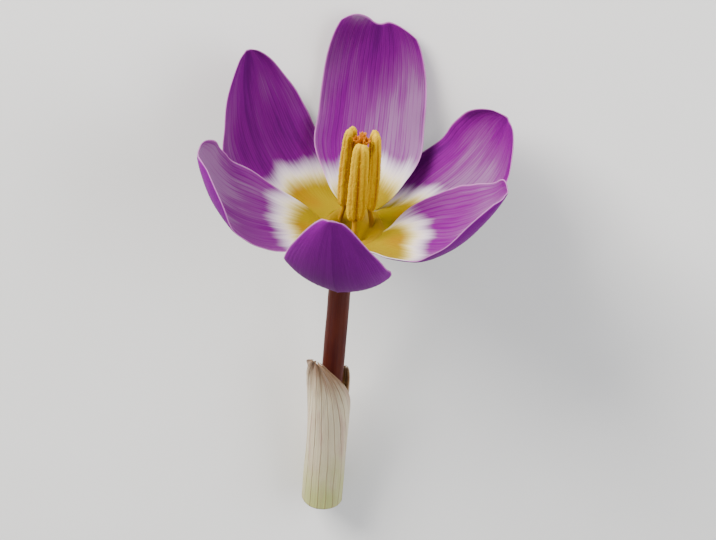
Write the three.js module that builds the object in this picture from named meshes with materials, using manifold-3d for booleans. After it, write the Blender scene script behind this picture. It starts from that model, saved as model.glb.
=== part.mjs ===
// A picked crocus flower lying on its side: six tepals in two whorls round a funnel-shaped throat,
// three stamens, a style with three frilled stigma branches, and the long slender tube with its two
// papery sheaths. Millimetres, +Z up, +Y from the cut end of the tube to the bloom.
//
// Every piece is made in the flower's own frame: the throat's centre is the origin, +Z runs up the
// flower's axis, and azimuths are counted round it from +X. The whole flower is then laid down.

import * as THREE from 'three';
import { mergeVertices } from 'three/addons/utils/BufferGeometryUtils.js';
import Module from 'manifold-3d';

// ---------------------------------------------------------------- driving dimensions

const GAP = 0.3; // clear space between neighbouring pieces

// Tepals
const THROAT_RADIUS = 4.75; // where the tepals part from the throat
const BLADE_THICKNESS = 0.6;
const CLAW_HALF_WIDTH = 2.26; // each tepal's foot, a sixth of the throat less the gap
const CLAW_ARC = 0.485; // half angle of the foot's arc, radians
const TIP_ARC = 0.55; // half angle of the cross-section near the tip, which is hooded
const MARGIN_WAVE = 0.3; // height of the waves along a tepal's margin
const NEST = 0.5; // the inner whorl stands inwards by this much and the outer whorl outwards
const NEST_ENDS = 0.13; // share of the length from the foot where that step is complete
const BLADE_ROWS = 18;
const BLADE_COLUMNS = 10;

// One row for each tepal. foot is the azimuth where it leaves the throat, and azimuth the way that its
// blade points. The midrib starts at the throat and bends through the given points, as [distance from
// the axis, height above the throat]. arc is the half angle of the blade's cross-section. widest is
// the place of the greatest width as a share of the length; fill and belly shape the lower half,
// shoulder and blunt the end, and tip is the width left there. twist is in degrees at the tip; bow and
// skew bend and widen the blade towards greater azimuths; wave is the phase of the margin's waves.
const STRAIGHT = { twist: 0, bow: 0, skew: 0 };
const OUTER = {
  ...STRAIGHT, whorl: -1, arc: 0.3, widest: 0.62, fill: 1.35, shoulder: 2.8, blunt: 0.55, tip: 0.06,
};
const INNER = {
  ...STRAIGHT, whorl: 1, arc: 0.4, widest: 0.62, fill: 1.2, shoulder: 2.8, blunt: 0.58, tip: 0.06,
};
const TEPALS = [
  {
    ...OUTER, name: 'tepal_outer_1', foot: 24, azimuth: 26, midrib: [[13.5, 0], [23, 3.6], [25.6, 16.7]],
    halfWidth: 9.5, belly: 1.6, twist: 6, wave: 0.4,
  },
  {
    ...OUTER, name: 'tepal_outer_2', foot: 144, azimuth: 142, midrib: [[13.5, 0], [23.5, 5.6], [25, 22.6]],
    halfWidth: 10, belly: 1.6, twist: -4, bow: 1.2, widest: 0.58, shoulder: 2, blunt: 0.68, wave: 2.1,
  },
  {
    ...OUTER, name: 'tepal_outer_3', foot: 264, azimuth: 262,
    midrib: [[14.5, -1.2], [23.9, 0.2], [24.4, 22.4]], halfWidth: 9.8, belly: 0.4, arc: 0.88,
    twist: 4, bow: 0.9, skew: -0.04, widest: 0.56, shoulder: 2.2, blunt: 0.7, wave: 3.7,
  },
  {
    ...INNER, name: 'tepal_inner_1', foot: 84, azimuth: 87, midrib: [[13, 2.2], [23, 8], [24.5, 24.8]],
    halfWidth: 9.2, belly: 1.6, skew: -0.04, widest: 0.58, shoulder: 3, blunt: 0.5, tip: 0.42, wave: 1.2,
  },
  {
    ...INNER, name: 'tepal_inner_2', foot: 204, azimuth: 201, midrib: [[13.5, 2.6], [25.2, 2.6], [28, 20.8]],
    halfWidth: 10.4, belly: 0.6, arc: 0.52, twist: -10, skew: -0.05, shoulder: 3, blunt: 0.55, wave: 5,
  },
  {
    ...INNER, name: 'tepal_inner_3', foot: 324, azimuth: 333.5,
    midrib: [[11.9, 3.7], [20.2, 0.7], [26.9, 19.8]], halfWidth: 11.1, belly: 0.7, arc: 0.82,
    twist: 7, bow: -0.8, skew: -0.015, widest: 0.52, fill: 1.15, wave: 4.4,
  },
];

// Throat and tube
const RIM_RADIUS = THROAT_RADIUS - GAP;
const TUBE_LENGTH = 60; // from the throat to the cut end
const TUBE_RADIUS = 1.5; // middle of the tube's wall
const TUBE_WALL = 0.8;
const RIM_WALL = 0.6;
const FUNNEL_DEPTH = 8;
const TUBE_SIDES = 16;
const TUBE_STEPS = 22;
const FUNNEL_STEPS = 8;
const TUBE_LEAN = 1.6; // the tube sets off a little to one side under the bloom
const LEAN_ENDS = 16; // distance below the throat where that lean is complete
const TAIL_LIFT = 4; // the tube's tail curves away from the bloom's underside by this much

// Sheaths round the foot of the tube: azimuth they face, wall radius, distance of the tip below the
// throat, half angle round the tube at the cut end, and how far the tip stands off.
const SHEATH_WALL = 0.6;
const SHEATHS = [
  { name: 'bract', azimuth: 235, radius: 3.45, tipAt: 27, wrap: 2.75, flare: 1.6 },
  { name: 'bracteole', azimuth: 40, radius: 2.52, tipAt: 32.5, wrap: 2.5, flare: 0.5 },
];
const SHEATH_ROWS = 14;
const SHEATH_COLUMNS = 12;

// Stamens, opposite the outer tepals
const STAMEN_AZIMUTHS = [26, 141, 271];
const FILAMENT_RADIUS = 0.42;
const FILAMENT_PATH = [[3.25, 0.25], [2.75, 1.5], [2.3, 3.4]]; // [from the axis, above the throat]
const ANTHER_TOP = [2.4, 19.6];
const ANTHER_WIDTH = 3.3;
const ANTHER_DEPTH = 2.2;
const ANTHER_GROOVE = 0.22; // depth of the groove between the two lobes, as a share
const ANTHER_SIDES = 14;
const FILAMENT_STEPS = 4;
const ANTHER_STEPS = 9;

// Style and stigma, whose branches stand between the stamens
const STYLE_RADIUS = 0.45;
const BRANCH_AZIMUTHS = [83.5, 206, 328.5];
const BRANCH_FORK = 15.6; // height of the fork above the throat
const BRANCH_TIP = [1, 19.5];
const BRANCH_ROOT_RADIUS = 0.34;
const BRANCH_TIP_RADIUS = 0.56;
const FRILL = 0.16; // depth of the frill's scallops, as a share of the branch's radius
const FRILL_LOBES = 4;
const STYLE_SIDES = 8;
const STYLE_STEPS = 26;
const BRANCH_SIDES = 16;
const BRANCH_STEPS = 8;

// How the flower lies: the azimuth that faces the ground and the rise of the axis, both in degrees,
// and the height of the throat's centre. What would reach below the ground is pressed flat on it.
const GROUND_AZIMUTH = 90;
const AXIS_RISE = 16.21;
const THROAT_HEIGHT = 16.51;

// ---------------------------------------------------------------- small helpers

const UP = new THREE.Vector3(0, 0, 1);
const rad = THREE.MathUtils.degToRad;
const smooth = (from, to, x) => THREE.MathUtils.smoothstep(x, from, to);
const outward = (azimuth) => new THREE.Vector3(Math.cos(rad(azimuth)), Math.sin(rad(azimuth)), 0);
const inProfile = (azimuth, [out, up]) => outward(azimuth).multiplyScalar(out).setZ(up);

// The way up from the ground, in the flower's own frame.
const SKY = outward(GROUND_AZIMUTH).multiplyScalar(-Math.cos(rad(AXIS_RISE))).setZ(Math.sin(rad(AXIS_RISE)));

// Lifts a point of a sheet's middle surface until half its thickness clears the ground.
function pressed(point, thickness) {
  const height = point.dot(SKY) + THROAT_HEIGHT;
  return point.addScaledVector(SKY, Math.max(0, thickness / 2 - height));
}

function geometryOf(points, triangles) {
  const geometry = new THREE.BufferGeometry();
  const flat = points.flatMap((p) => [p.x, p.y, p.z]);
  geometry.setAttribute('position', new THREE.Float32BufferAttribute(flat, 3));
  geometry.setIndex(triangles.flat());
  return geometry;
}

function signedVolume(points, triangles) {
  const one = new THREE.Vector3();
  return triangles.reduce((sum, [a, b, c]) => sum + points[a].dot(one.crossVectors(points[b], points[c])), 0);
}

// A closed body from its points and triangles, turned so that its faces point out.
function closedBody(points, triangles) {
  const flipped = signedVolume(points, triangles) < 0;
  const facing = flipped ? triangles.map(([a, b, c]) => [a, c, b]) : triangles;
  return geometryOf(points, facing);
}

// Triangles of a grid of points, rows x columns cells, from the index of its first point.
function gridTriangles(first, rows, columns, wrapped = false) {
  const triangles = [];
  const stride = wrapped ? columns : columns + 1;
  for (let i = 0; i < rows; i += 1) {
    for (let j = 0; j < columns; j += 1) {
      const next = (j + 1) % stride;
      const a = first + i * stride + j;
      const b = first + i * stride + next;
      const c = first + (i + 1) * stride + j;
      const d = first + (i + 1) * stride + next;
      triangles.push([a, b, d], [a, d, c]);
    }
  }
  return triangles;
}

// A thin curved sheet of even thickness round the surface that surfaceAt(s, v) gives, with s from
// 0 to 1 along it and v from -1 to 1 across. Both faces are split into triangles alike.
function sheetBody(surfaceAt, rows, columns, thickness) {
  const step = 1e-3;
  const faces = [[], []];
  for (let i = 0; i <= rows; i += 1) {
    for (let j = 0; j <= columns; j += 1) {
      const s = i / rows;
      const v = (2 * j) / columns - 1;
      const along = surfaceAt(Math.min(s + step, 1), v).sub(surfaceAt(Math.max(s - step, 0), v));
      const across = surfaceAt(s, Math.min(v + step, 1)).sub(surfaceAt(s, Math.max(v - step, -1)));
      const normal = along.cross(across).normalize();
      const middle = surfaceAt(s, v);
      faces[0].push(middle.clone().addScaledVector(normal, thickness / 2));
      faces[1].push(middle.clone().addScaledVector(normal, -thickness / 2));
    }
  }
  const points = faces.flat();
  const count = faces[0].length;
  const top = gridTriangles(0, rows, columns);
  const bottom = gridTriangles(count, rows, columns).map(([a, b, c]) => [a, c, b]);
  const walls = [];
  const wall = (a, b) => walls.push([a, a + count, b + count], [a, b + count, b]);
  const stride = columns + 1;
  for (let j = 0; j < columns; j += 1) {
    wall(j, j + 1);
    wall(rows * stride + j + 1, rows * stride + j);
  }
  for (let i = 0; i < rows; i += 1) {
    wall((i + 1) * stride, i * stride);
    wall(i * stride + columns, (i + 1) * stride + columns);
  }
  return closedBody(points, [...top, ...bottom, ...walls]);
}

// A closed body skinned over rings of equally many points, with a flat fan at each end.
function loftBody(rings) {
  const sides = rings[0].length;
  const points = rings.flat();
  const triangles = gridTriangles(0, rings.length - 1, sides, true);
  [0, rings.length - 1].forEach((index) => {
    const centre = new THREE.Vector3();
    rings[index].forEach((p) => centre.addScaledVector(p, 1 / sides));
    points.push(centre);
    for (let j = 0; j < sides; j += 1) {
      const a = index * sides + j;
      const b = index * sides + ((j + 1) % sides);
      triangles.push(index === 0 ? [points.length - 1, b, a] : [points.length - 1, a, b]);
    }
  });
  return closedBody(points, triangles);
}

// An open pipe between rings of outer points and rings of inner points.
function pipeBody(outerRings, innerRings) {
  const sides = outerRings[0].length;
  const last = outerRings.length - 1;
  const points = [...outerRings.flat(), ...innerRings.flat()];
  const inside = outerRings.length * sides;
  const triangles = gridTriangles(0, last, sides, true);
  gridTriangles(inside, last, sides, true).forEach(([a, b, c]) => triangles.push([a, c, b]));
  for (let j = 0; j < sides; j += 1) {
    const k = (j + 1) % sides;
    const end = last * sides;
    triangles.push([j, inside + j, inside + k], [j, inside + k, k]);
    triangles.push([end + j, inside + end + k, inside + end + j], [end + j, end + k, inside + end + k]);
  }
  return closedBody(points, triangles);
}

// A ring of points round centre in the plane of two directions, at radius(angle).
function ringOf(centre, right, back, sides, radiusAt) {
  return Array.from({ length: sides }, (_, j) => {
    const angle = (2 * Math.PI * j) / sides;
    const [x, y] = radiusAt(angle);
    return centre.clone().addScaledVector(right, x).addScaledVector(back, y);
  });
}

const roundAt = (radius) => (angle) => [radius * Math.cos(angle), radius * Math.sin(angle)];

// ---------------------------------------------------------------- tepals

function tepalHalfWidth(tepal, t) {
  const { halfWidth, widest, shoulder, blunt, fill, belly, tip } = tepal;
  if (t < widest) {
    const growth = Math.sin(((t / widest) * Math.PI) / 2) ** fill;
    const fuller = belly * Math.sin((t / widest) * Math.PI) ** 2;
    return CLAW_HALF_WIDTH + (halfWidth - CLAW_HALF_WIDTH) * growth + fuller;
  }
  const beyond = (t - widest) / (1 - widest);
  const outline = Math.max(0, 1 - beyond ** shoulder) ** blunt;
  return halfWidth * (tip + (1 - tip) * outline);
}

// The point of a tepal's middle surface at t along the midrib and v across, from -1 to 1.
function tepalPoint(tepal, t, v) {
  const [p0, p1, p2, p3] = [[THROAT_RADIUS, 0], ...tepal.midrib].map(([x, y]) => new THREE.Vector2(x, y));
  const midrib = new THREE.CubicBezierCurve(p0, p1, p2, p3);
  const place = midrib.getPoint(t);
  const slope = midrib.getTangent(t);
  const out = outward(tepal.foot + (tepal.azimuth - tepal.foot) * smooth(0, 0.45, t));
  const side = new THREE.Vector3().crossVectors(UP, out);

  // The foot lies in the throat's circle, and the blade stands square to its midrib.
  const facing = out.clone().multiplyScalar(-slope.y).addScaledVector(UP, slope.x);
  facing.lerp(out.clone().negate(), 1 - smooth(0, 0.35, t)).normalize();

  const skew = 1 + tepal.skew * Math.sin(Math.PI * t) * Math.sign(v);
  const width = tepalHalfWidth(tepal, t) * skew;
  const opening = (tepal.arc - CLAW_ARC) * smooth(0, 0.3, t);
  const arc = CLAW_ARC + opening + (TIP_ARC - tepal.arc) * smooth(0.5, 1, t);
  const wave = MARGIN_WAVE * Math.abs(v) ** 3 * smooth(0.25, 0.6, t) * Math.sin(13 * t + tepal.wave + 2 * v);
  const across = (width / arc) * Math.sin(arc * v);
  const rise = (width / arc) * (1 - Math.cos(arc * v)) + wave;
  const nest = NEST * tepal.whorl * smooth(0, NEST_ENDS, t);
  const twist = rad(tepal.twist) * t;
  const sideways = across * Math.cos(twist) - rise * Math.sin(twist) + tepal.bow * Math.sin(Math.PI * t);
  const inwards = across * Math.sin(twist) + rise * Math.cos(twist) + nest;
  const point = out.multiplyScalar(place.x).setZ(place.y);
  point.addScaledVector(side, sideways).addScaledVector(facing, inwards);
  return pressed(point, BLADE_THICKNESS);
}

// Rows lie closer together towards the rounded tip.
const alongBlade = (s) => 1 - (1 - s) ** 1.35;

function tepalBody(tepal) {
  return sheetBody((s, v) => tepalPoint(tepal, alongBlade(s), v), BLADE_ROWS, BLADE_COLUMNS, BLADE_THICKNESS);
}

// ---------------------------------------------------------------- throat and tube

// The middle of the tube at a distance below the throat; above the throat it is the axis.
function tubeCentre(below) {
  const depth = Math.max(below, 0);
  const lift = TAIL_LIFT * (depth / TUBE_LENGTH) ** 2;
  const lean = TUBE_LEAN * smooth(0, LEAN_ENDS, depth);
  return outward(GROUND_AZIMUTH).multiplyScalar(-lift).add(new THREE.Vector3(-lean, 0, -below));
}

// The tube's own directions at that distance: its tangent and two square to it.
function tubeFrame(below) {
  const tangent = tubeCentre(below - 0.1).sub(tubeCentre(below + 0.1)).normalize();
  const right = new THREE.Vector3(1, 0, 0).addScaledVector(tangent, -tangent.x).normalize();
  const back = new THREE.Vector3().crossVectors(tangent, right);
  return { centre: tubeCentre(below), tangent, right, back };
}

const FUNNEL = new THREE.CubicBezierCurve(
  new THREE.Vector2(RIM_RADIUS, 0.03),
  new THREE.Vector2(2.9, 0.35),
  new THREE.Vector2(TUBE_RADIUS, 3.6),
  new THREE.Vector2(TUBE_RADIUS, FUNNEL_DEPTH),
);

// Places down the throat and tube: wall radius, depth, and the wall's normal in that profile.
function tubeProfile() {
  const places = [];
  for (let i = 0; i <= FUNNEL_STEPS; i += 1) {
    const u = i / FUNNEL_STEPS;
    const place = FUNNEL.getPoint(u);
    const slope = FUNNEL.getTangent(u);
    const wall = RIM_WALL + (TUBE_WALL - RIM_WALL) * u;
    places.push({ radius: place.x, depth: place.y, normal: [slope.y, -slope.x], wall });
  }
  for (let i = 1; i <= TUBE_STEPS; i += 1) {
    const depth = FUNNEL_DEPTH + ((TUBE_LENGTH - FUNNEL_DEPTH) * i) / TUBE_STEPS;
    places.push({ radius: TUBE_RADIUS, depth, normal: [1, 0], wall: TUBE_WALL });
  }
  return places;
}

function tubeBody() {
  const rings = (side) => tubeProfile().map(({ radius, depth, normal, wall }) => {
    const { centre, right, back } = tubeFrame(depth + (side * normal[1] * wall) / 2);
    return ringOf(centre, right, back, TUBE_SIDES, roundAt(radius + (side * normal[0] * wall) / 2));
  });
  return pipeBody(rings(1), rings(-1));
}

// ---------------------------------------------------------------- sheaths

// A sheath's surface: s runs from the cut end to the pointed tip, v round the tube.
function sheathPoint(sheath, s, v) {
  const { centre, right, back } = tubeFrame(TUBE_LENGTH + (sheath.tipAt - TUBE_LENGTH) * s);
  const half = sheath.wrap * (0.05 + 0.95 * Math.max(0, 1 - s ** 2.2) ** 0.8);
  const angle = rad(sheath.azimuth) + half * v;
  const radius = sheath.radius + sheath.flare * s ** 4;
  centre.addScaledVector(right, radius * Math.cos(angle)).addScaledVector(back, radius * Math.sin(angle));
  return pressed(centre, SHEATH_WALL);
}

function sheathBody(sheath) {
  return sheetBody((s, v) => sheathPoint(sheath, s, v), SHEATH_ROWS, SHEATH_COLUMNS, SHEATH_WALL);
}

// ---------------------------------------------------------------- stamens

function stamenBody(azimuth) {
  const out = outward(azimuth);
  const side = new THREE.Vector3().crossVectors(UP, out);
  const [foot, bend, joint] = FILAMENT_PATH.map((p) => inProfile(azimuth, p));
  const filament = new THREE.QuadraticBezierCurve3(foot, bend, joint);
  const top = inProfile(azimuth, ANTHER_TOP);
  const rings = [];
  for (let i = 0; i <= FILAMENT_STEPS; i += 1) {
    const centre = filament.getPoint(i / FILAMENT_STEPS);
    const deep = new THREE.Vector3().crossVectors(side, filament.getTangent(i / FILAMENT_STEPS));
    rings.push(ringOf(centre, side, deep, ANTHER_SIDES, roundAt(FILAMENT_RADIUS)));
  }
  const axis = top.clone().sub(joint).normalize();
  const deep = new THREE.Vector3().crossVectors(side, axis);
  for (let i = 0; i <= ANTHER_STEPS; i += 1) {
    const u = 0.02 + (0.98 * i) / ANTHER_STEPS;
    const full = Math.sqrt(1 - 0.82 * Math.abs(2 * u - 1) ** 7) / 2;
    const lobes = (angle) => {
      const groove = 1 - ANTHER_GROOVE * Math.exp(-((Math.cos(angle) / 0.4) ** 2));
      return [ANTHER_WIDTH * full * Math.cos(angle), ANTHER_DEPTH * full * groove * Math.sin(angle)];
    };
    rings.push(ringOf(joint.clone().lerp(top, u), side, deep, ANTHER_SIDES, lobes));
  }
  return loftBody(rings);
}

// ---------------------------------------------------------------- style and stigma

const wasm = await Module();
wasm.setup();

function solidOf(geometry) {
  const welded = mergeVertices(geometry);
  const vertProperties = new Float32Array(welded.attributes.position.array);
  const triVerts = new Uint32Array(welded.index.array);
  return new wasm.Manifold(new wasm.Mesh({ numProp: 3, vertProperties, triVerts }));
}

function geometryOfSolid(solid) {
  const { vertProperties, triVerts } = solid.getMesh();
  const geometry = new THREE.BufferGeometry();
  geometry.setAttribute('position', new THREE.BufferAttribute(vertProperties, 3));
  geometry.setIndex(new THREE.BufferAttribute(triVerts, 1));
  return geometry;
}

function styleThread() {
  const top = -BRANCH_FORK - 1;
  const rings = [];
  for (let i = 0; i <= STYLE_STEPS; i += 1) {
    const { centre, right, back } = tubeFrame(TUBE_LENGTH + ((top - TUBE_LENGTH) * i) / STYLE_STEPS);
    rings.push(ringOf(centre, right, back, STYLE_SIDES, roundAt(STYLE_RADIUS)));
  }
  return loftBody(rings);
}

// A stigma branch leaves the thread's middle, leans out and widens to a frilled trumpet end.
function stigmaBranch(azimuth) {
  const out = outward(azimuth);
  const side = new THREE.Vector3().crossVectors(UP, out);
  const foot = new THREE.Vector3(0, 0, BRANCH_FORK);
  const bend = inProfile(azimuth, [BRANCH_TIP[0] * 0.35, (BRANCH_FORK + BRANCH_TIP[1]) / 2]);
  const path = new THREE.QuadraticBezierCurve3(foot, bend, inProfile(azimuth, BRANCH_TIP));
  const rings = [];
  for (let i = 0; i <= BRANCH_STEPS; i += 1) {
    const u = i / BRANCH_STEPS;
    const deep = new THREE.Vector3().crossVectors(side, path.getTangent(u));
    const wide = BRANCH_ROOT_RADIUS + (BRANCH_TIP_RADIUS - BRANCH_ROOT_RADIUS) * u ** 3;
    const frilled = (angle) => {
      const radius = wide * (1 + FRILL * u ** 2 * Math.sin(FRILL_LOBES * angle));
      return [radius * Math.cos(angle), radius * Math.sin(angle)];
    };
    rings.push(ringOf(path.getPoint(u), side, deep, BRANCH_SIDES, frilled));
  }
  return loftBody(rings);
}

function styleBody() {
  const branches = BRANCH_AZIMUTHS.map((azimuth) => solidOf(stigmaBranch(azimuth)));
  return geometryOfSolid(branches.reduce((whole, branch) => whole.add(branch), solidOf(styleThread())));
}

// ---------------------------------------------------------------- the flower

const OUTER_FINISH = { color: 0x7d2a86, roughness: 0.5 };
const INNER_FINISH = { color: 0x93429c, roughness: 0.5 };
const TUBE_FINISH = { color: 0x6b3a22, roughness: 0.45 };
const SHEATH_FINISH = { color: 0xd9d3b8, roughness: 0.6 };
const STAMEN_FINISH = { color: 0xe0a514, roughness: 0.8 };
const STYLE_FINISH = { color: 0xe37412, roughness: 0.7 };

function piece(name, geometry, finish) {
  const material = new THREE.MeshStandardMaterial({ ...finish, metalness: 0, side: THREE.DoubleSide });
  geometry.computeVertexNormals();
  const mesh = new THREE.Mesh(geometry, material);
  mesh.name = name;
  return mesh;
}

function crocusFlower() {
  const flower = new THREE.Group();
  TEPALS.forEach((tepal) => {
    flower.add(piece(tepal.name, tepalBody(tepal), tepal.whorl < 0 ? OUTER_FINISH : INNER_FINISH));
  });
  flower.add(piece('perianth_tube', tubeBody(), TUBE_FINISH));
  SHEATHS.forEach((sheath) => flower.add(piece(sheath.name, sheathBody(sheath), SHEATH_FINISH)));
  STAMEN_AZIMUTHS.forEach((azimuth, i) => {
    flower.add(piece(`stamen_${i + 1}`, stamenBody(azimuth), STAMEN_FINISH));
  });
  flower.add(piece('style', styleBody(), STYLE_FINISH));
  return flower;
}

// Turns the flower's ground side down, and moves it onto z = 0 with its middle at the origin.
function laidDown(flower) {
  flower.rotation.set(rad(AXIS_RISE - 90), 0, rad(90 - GROUND_AZIMUTH), 'XYZ');
  flower.updateMatrixWorld(true);
  const box = new THREE.Box3().setFromObject(flower, true);
  const middle = box.getCenter(new THREE.Vector3());
  flower.position.set(-middle.x, -middle.y, THROAT_HEIGHT);
  const lying = new THREE.Group();
  lying.add(flower);
  return lying;
}

const group = laidDown(crocusFlower());
export default group;
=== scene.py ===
"""A picked crocus flower lying on a pale floor: violet, white and gold tepals round golden anthers.

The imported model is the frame. Every part of the flower is a class that holds its sizes in millimetres,
in the flower's own frame: the throat's centre is the origin, +Z runs up the flower's axis, and
azimuths are counted round it from +X. Meshes are laid down as the flower lies and written in metres.
"""

import logging
import math
from collections.abc import Callable, Sequence
from dataclasses import dataclass, field
from enum import Enum
from functools import partial, reduce

import bmesh
import bpy
import numpy as np
from mathutils import Matrix, Vector


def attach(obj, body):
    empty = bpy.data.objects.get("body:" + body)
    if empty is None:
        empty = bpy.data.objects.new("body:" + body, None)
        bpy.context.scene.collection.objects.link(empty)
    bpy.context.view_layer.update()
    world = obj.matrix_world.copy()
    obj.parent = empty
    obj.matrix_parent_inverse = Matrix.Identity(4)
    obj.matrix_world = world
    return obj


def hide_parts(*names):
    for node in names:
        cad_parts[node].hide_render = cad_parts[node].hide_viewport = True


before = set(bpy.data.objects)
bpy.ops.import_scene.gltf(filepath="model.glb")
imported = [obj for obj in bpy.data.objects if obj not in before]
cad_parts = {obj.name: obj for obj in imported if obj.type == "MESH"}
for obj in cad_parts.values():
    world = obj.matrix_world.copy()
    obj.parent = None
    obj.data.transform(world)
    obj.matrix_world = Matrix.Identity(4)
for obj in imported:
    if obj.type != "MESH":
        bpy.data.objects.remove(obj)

LOG = logging.getLogger("crocus")
Array = np.ndarray
Colour = tuple[float, float, float]
Socket = bpy.types.NodeSocket
BODY = "root"
MM = 0.001
STEP = 1e-3
TEPAL_VEINS = 12
SHEATH_VEINS = 7
UP = np.array([0.0, 0.0, 1.0])

# ---------------------------------------------------------------- small mathematics


def smooth(low: float, high: float, x: Array | float) -> Array:
    """Rises smoothly from 0 at low to 1 at high.

    Args:
        low: where the rise begins.
        high: where it is complete.
        x: the values to shape.

    Returns:
        The shaped values, from 0 to 1.
    """
    share = np.clip((np.asarray(x, float) - low) / (high - low), 0.0, 1.0)
    return share * share * (3.0 - 2.0 * share)


def outward(azimuth: Array | float) -> Array:
    """Unit vectors square to the flower's axis.

    Args:
        azimuth: degrees round the axis from +X.

    Returns:
        An array of the same shape with x, y and z last.
    """
    angle = np.radians(np.asarray(azimuth, float))
    return np.stack([np.cos(angle), np.sin(angle), np.zeros_like(angle)], axis=-1)


def unit(vectors: Array) -> Array:
    """Vectors scaled to length one.

    Args:
        vectors: an array with x, y and z last.

    Returns:
        The same directions at unit length.
    """
    return vectors / np.maximum(np.linalg.norm(vectors, axis=-1, keepdims=True), 1e-12)


def ring_angles(sides: int) -> Array:
    """Angles evenly round a circle, in radians."""
    return np.linspace(0, 2 * math.pi, sides, endpoint=False)


def normals(surface: Callable[[Array, Array], Array], along: Array, across: Array) -> Array:
    """Unit normals of a surface that two numbers sweep.

    Args:
        surface: gives the places on it.
        along: shares of its length, from 0 to 1.
        across: places across it, from -1 to 1.

    Returns:
        The normals.
    """
    ahead = surface(np.minimum(along + STEP, 1), across) - surface(np.maximum(along - STEP, 0), across)
    beside = surface(along, np.minimum(across + STEP, 1)) - surface(along, np.maximum(across - STEP, -1))
    return unit(np.cross(ahead, beside))


def bezier(points: Sequence[Sequence[float]], share: Array) -> tuple[Array, Array]:
    """A Bezier curve of any degree in any number of dimensions.

    Args:
        points: the control points.
        share: places along it, from 0 to 1.

    Returns:
        The places and their unit tangents.
    """
    controls = [np.asarray(p, float) for p in points]
    t = np.asarray(share, float)[..., None]

    def blended(corners: list[Array]) -> Array:
        """Blends control points along the curve.

        Args:
            corners: the control points.

        Returns:
            The places.
        """
        degree = len(corners) - 1
        terms = [math.comb(degree, i) * (1 - t) ** (degree - i) * t**i * p for i, p in enumerate(corners)]
        return np.sum(terms, axis=0)

    steps = [b - a for a, b in zip(controls, controls[1:], strict=False)]
    return blended(controls), unit(blended(steps))


def ripple(x: Array, y: Array, seed: float) -> Array:
    """Soft irregular swell from a few crossed sine waves.

    Args:
        x: first coordinate, where about 1 is one swell.
        y: second coordinate.
        seed: shifts the pattern.

    Returns:
        Values from about -1 to 1.
    """
    waves = ((1.0, 0.6, 1.3), (-0.7, 1.4, 2.9), (1.9, 0.9, 4.1), (0.8, -2.1, 0.7))
    total = sum(np.sin(2 * np.pi * (a * x + b * y) * 0.5 + c * seed) for a, b, c in waves)
    return total / len(waves)


# ---------------------------------------------------------------- how the flower lies


@dataclass(frozen=True)
class LyingPose:
    """The flower on its side, with its back tepal and its cut end on the floor."""

    axis_rise: float = 16.21
    throat: tuple[float, float, float] = (0.479, 14.237, 16.510)

    def sky(self) -> Array:
        """The way up from the floor, in the flower's frame."""
        rise = math.radians(self.axis_rise)
        return np.array([0.0, -math.cos(rise), math.sin(rise)])

    def pressed(self, points: Array, clear: Array | float = 0.0, ease: float = 0.0) -> Array:
        """Lifts points that lie lower than they may over the floor.

        Args:
            points: places in the flower's frame.
            clear: how high over the floor each has to be.
            ease: how softly the lift sets in, in millimetres.

        Returns:
            The places, lifted where needed.
        """
        under = clear - (points @ self.sky() + self.throat[2])
        return points + ((under + np.sqrt(under**2 + ease**2)) / 2)[..., None] * self.sky()

    def metres(self, points: Array) -> Array:
        """Places in the flower's frame as they lie on the floor, in metres.

        Args:
            points: an array of places in millimetres.

        Returns:
            The places in the row's frame.
        """
        lean = math.radians(self.axis_rise - 90)
        x, y, z = points[..., 0], points[..., 1], points[..., 2]
        turned = np.stack([
            x,
            y * math.cos(lean) - z * math.sin(lean),
            y * math.sin(lean) + z * math.cos(lean),
        ], axis=-1)
        return (turned + np.array(self.throat)) * MM


POSE = LyingPose()

# ---------------------------------------------------------------- meshes


def linked(name: str, data: bpy.types.ID) -> bpy.types.Object:
    """Makes an object at the origin and links it to the scene.

    Args:
        name: the object's name.
        data: the mesh, camera or light that it holds.

    Returns:
        The new object.
    """
    thing = bpy.data.objects.new(name, data)
    bpy.context.scene.collection.objects.link(thing)
    return thing


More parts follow.
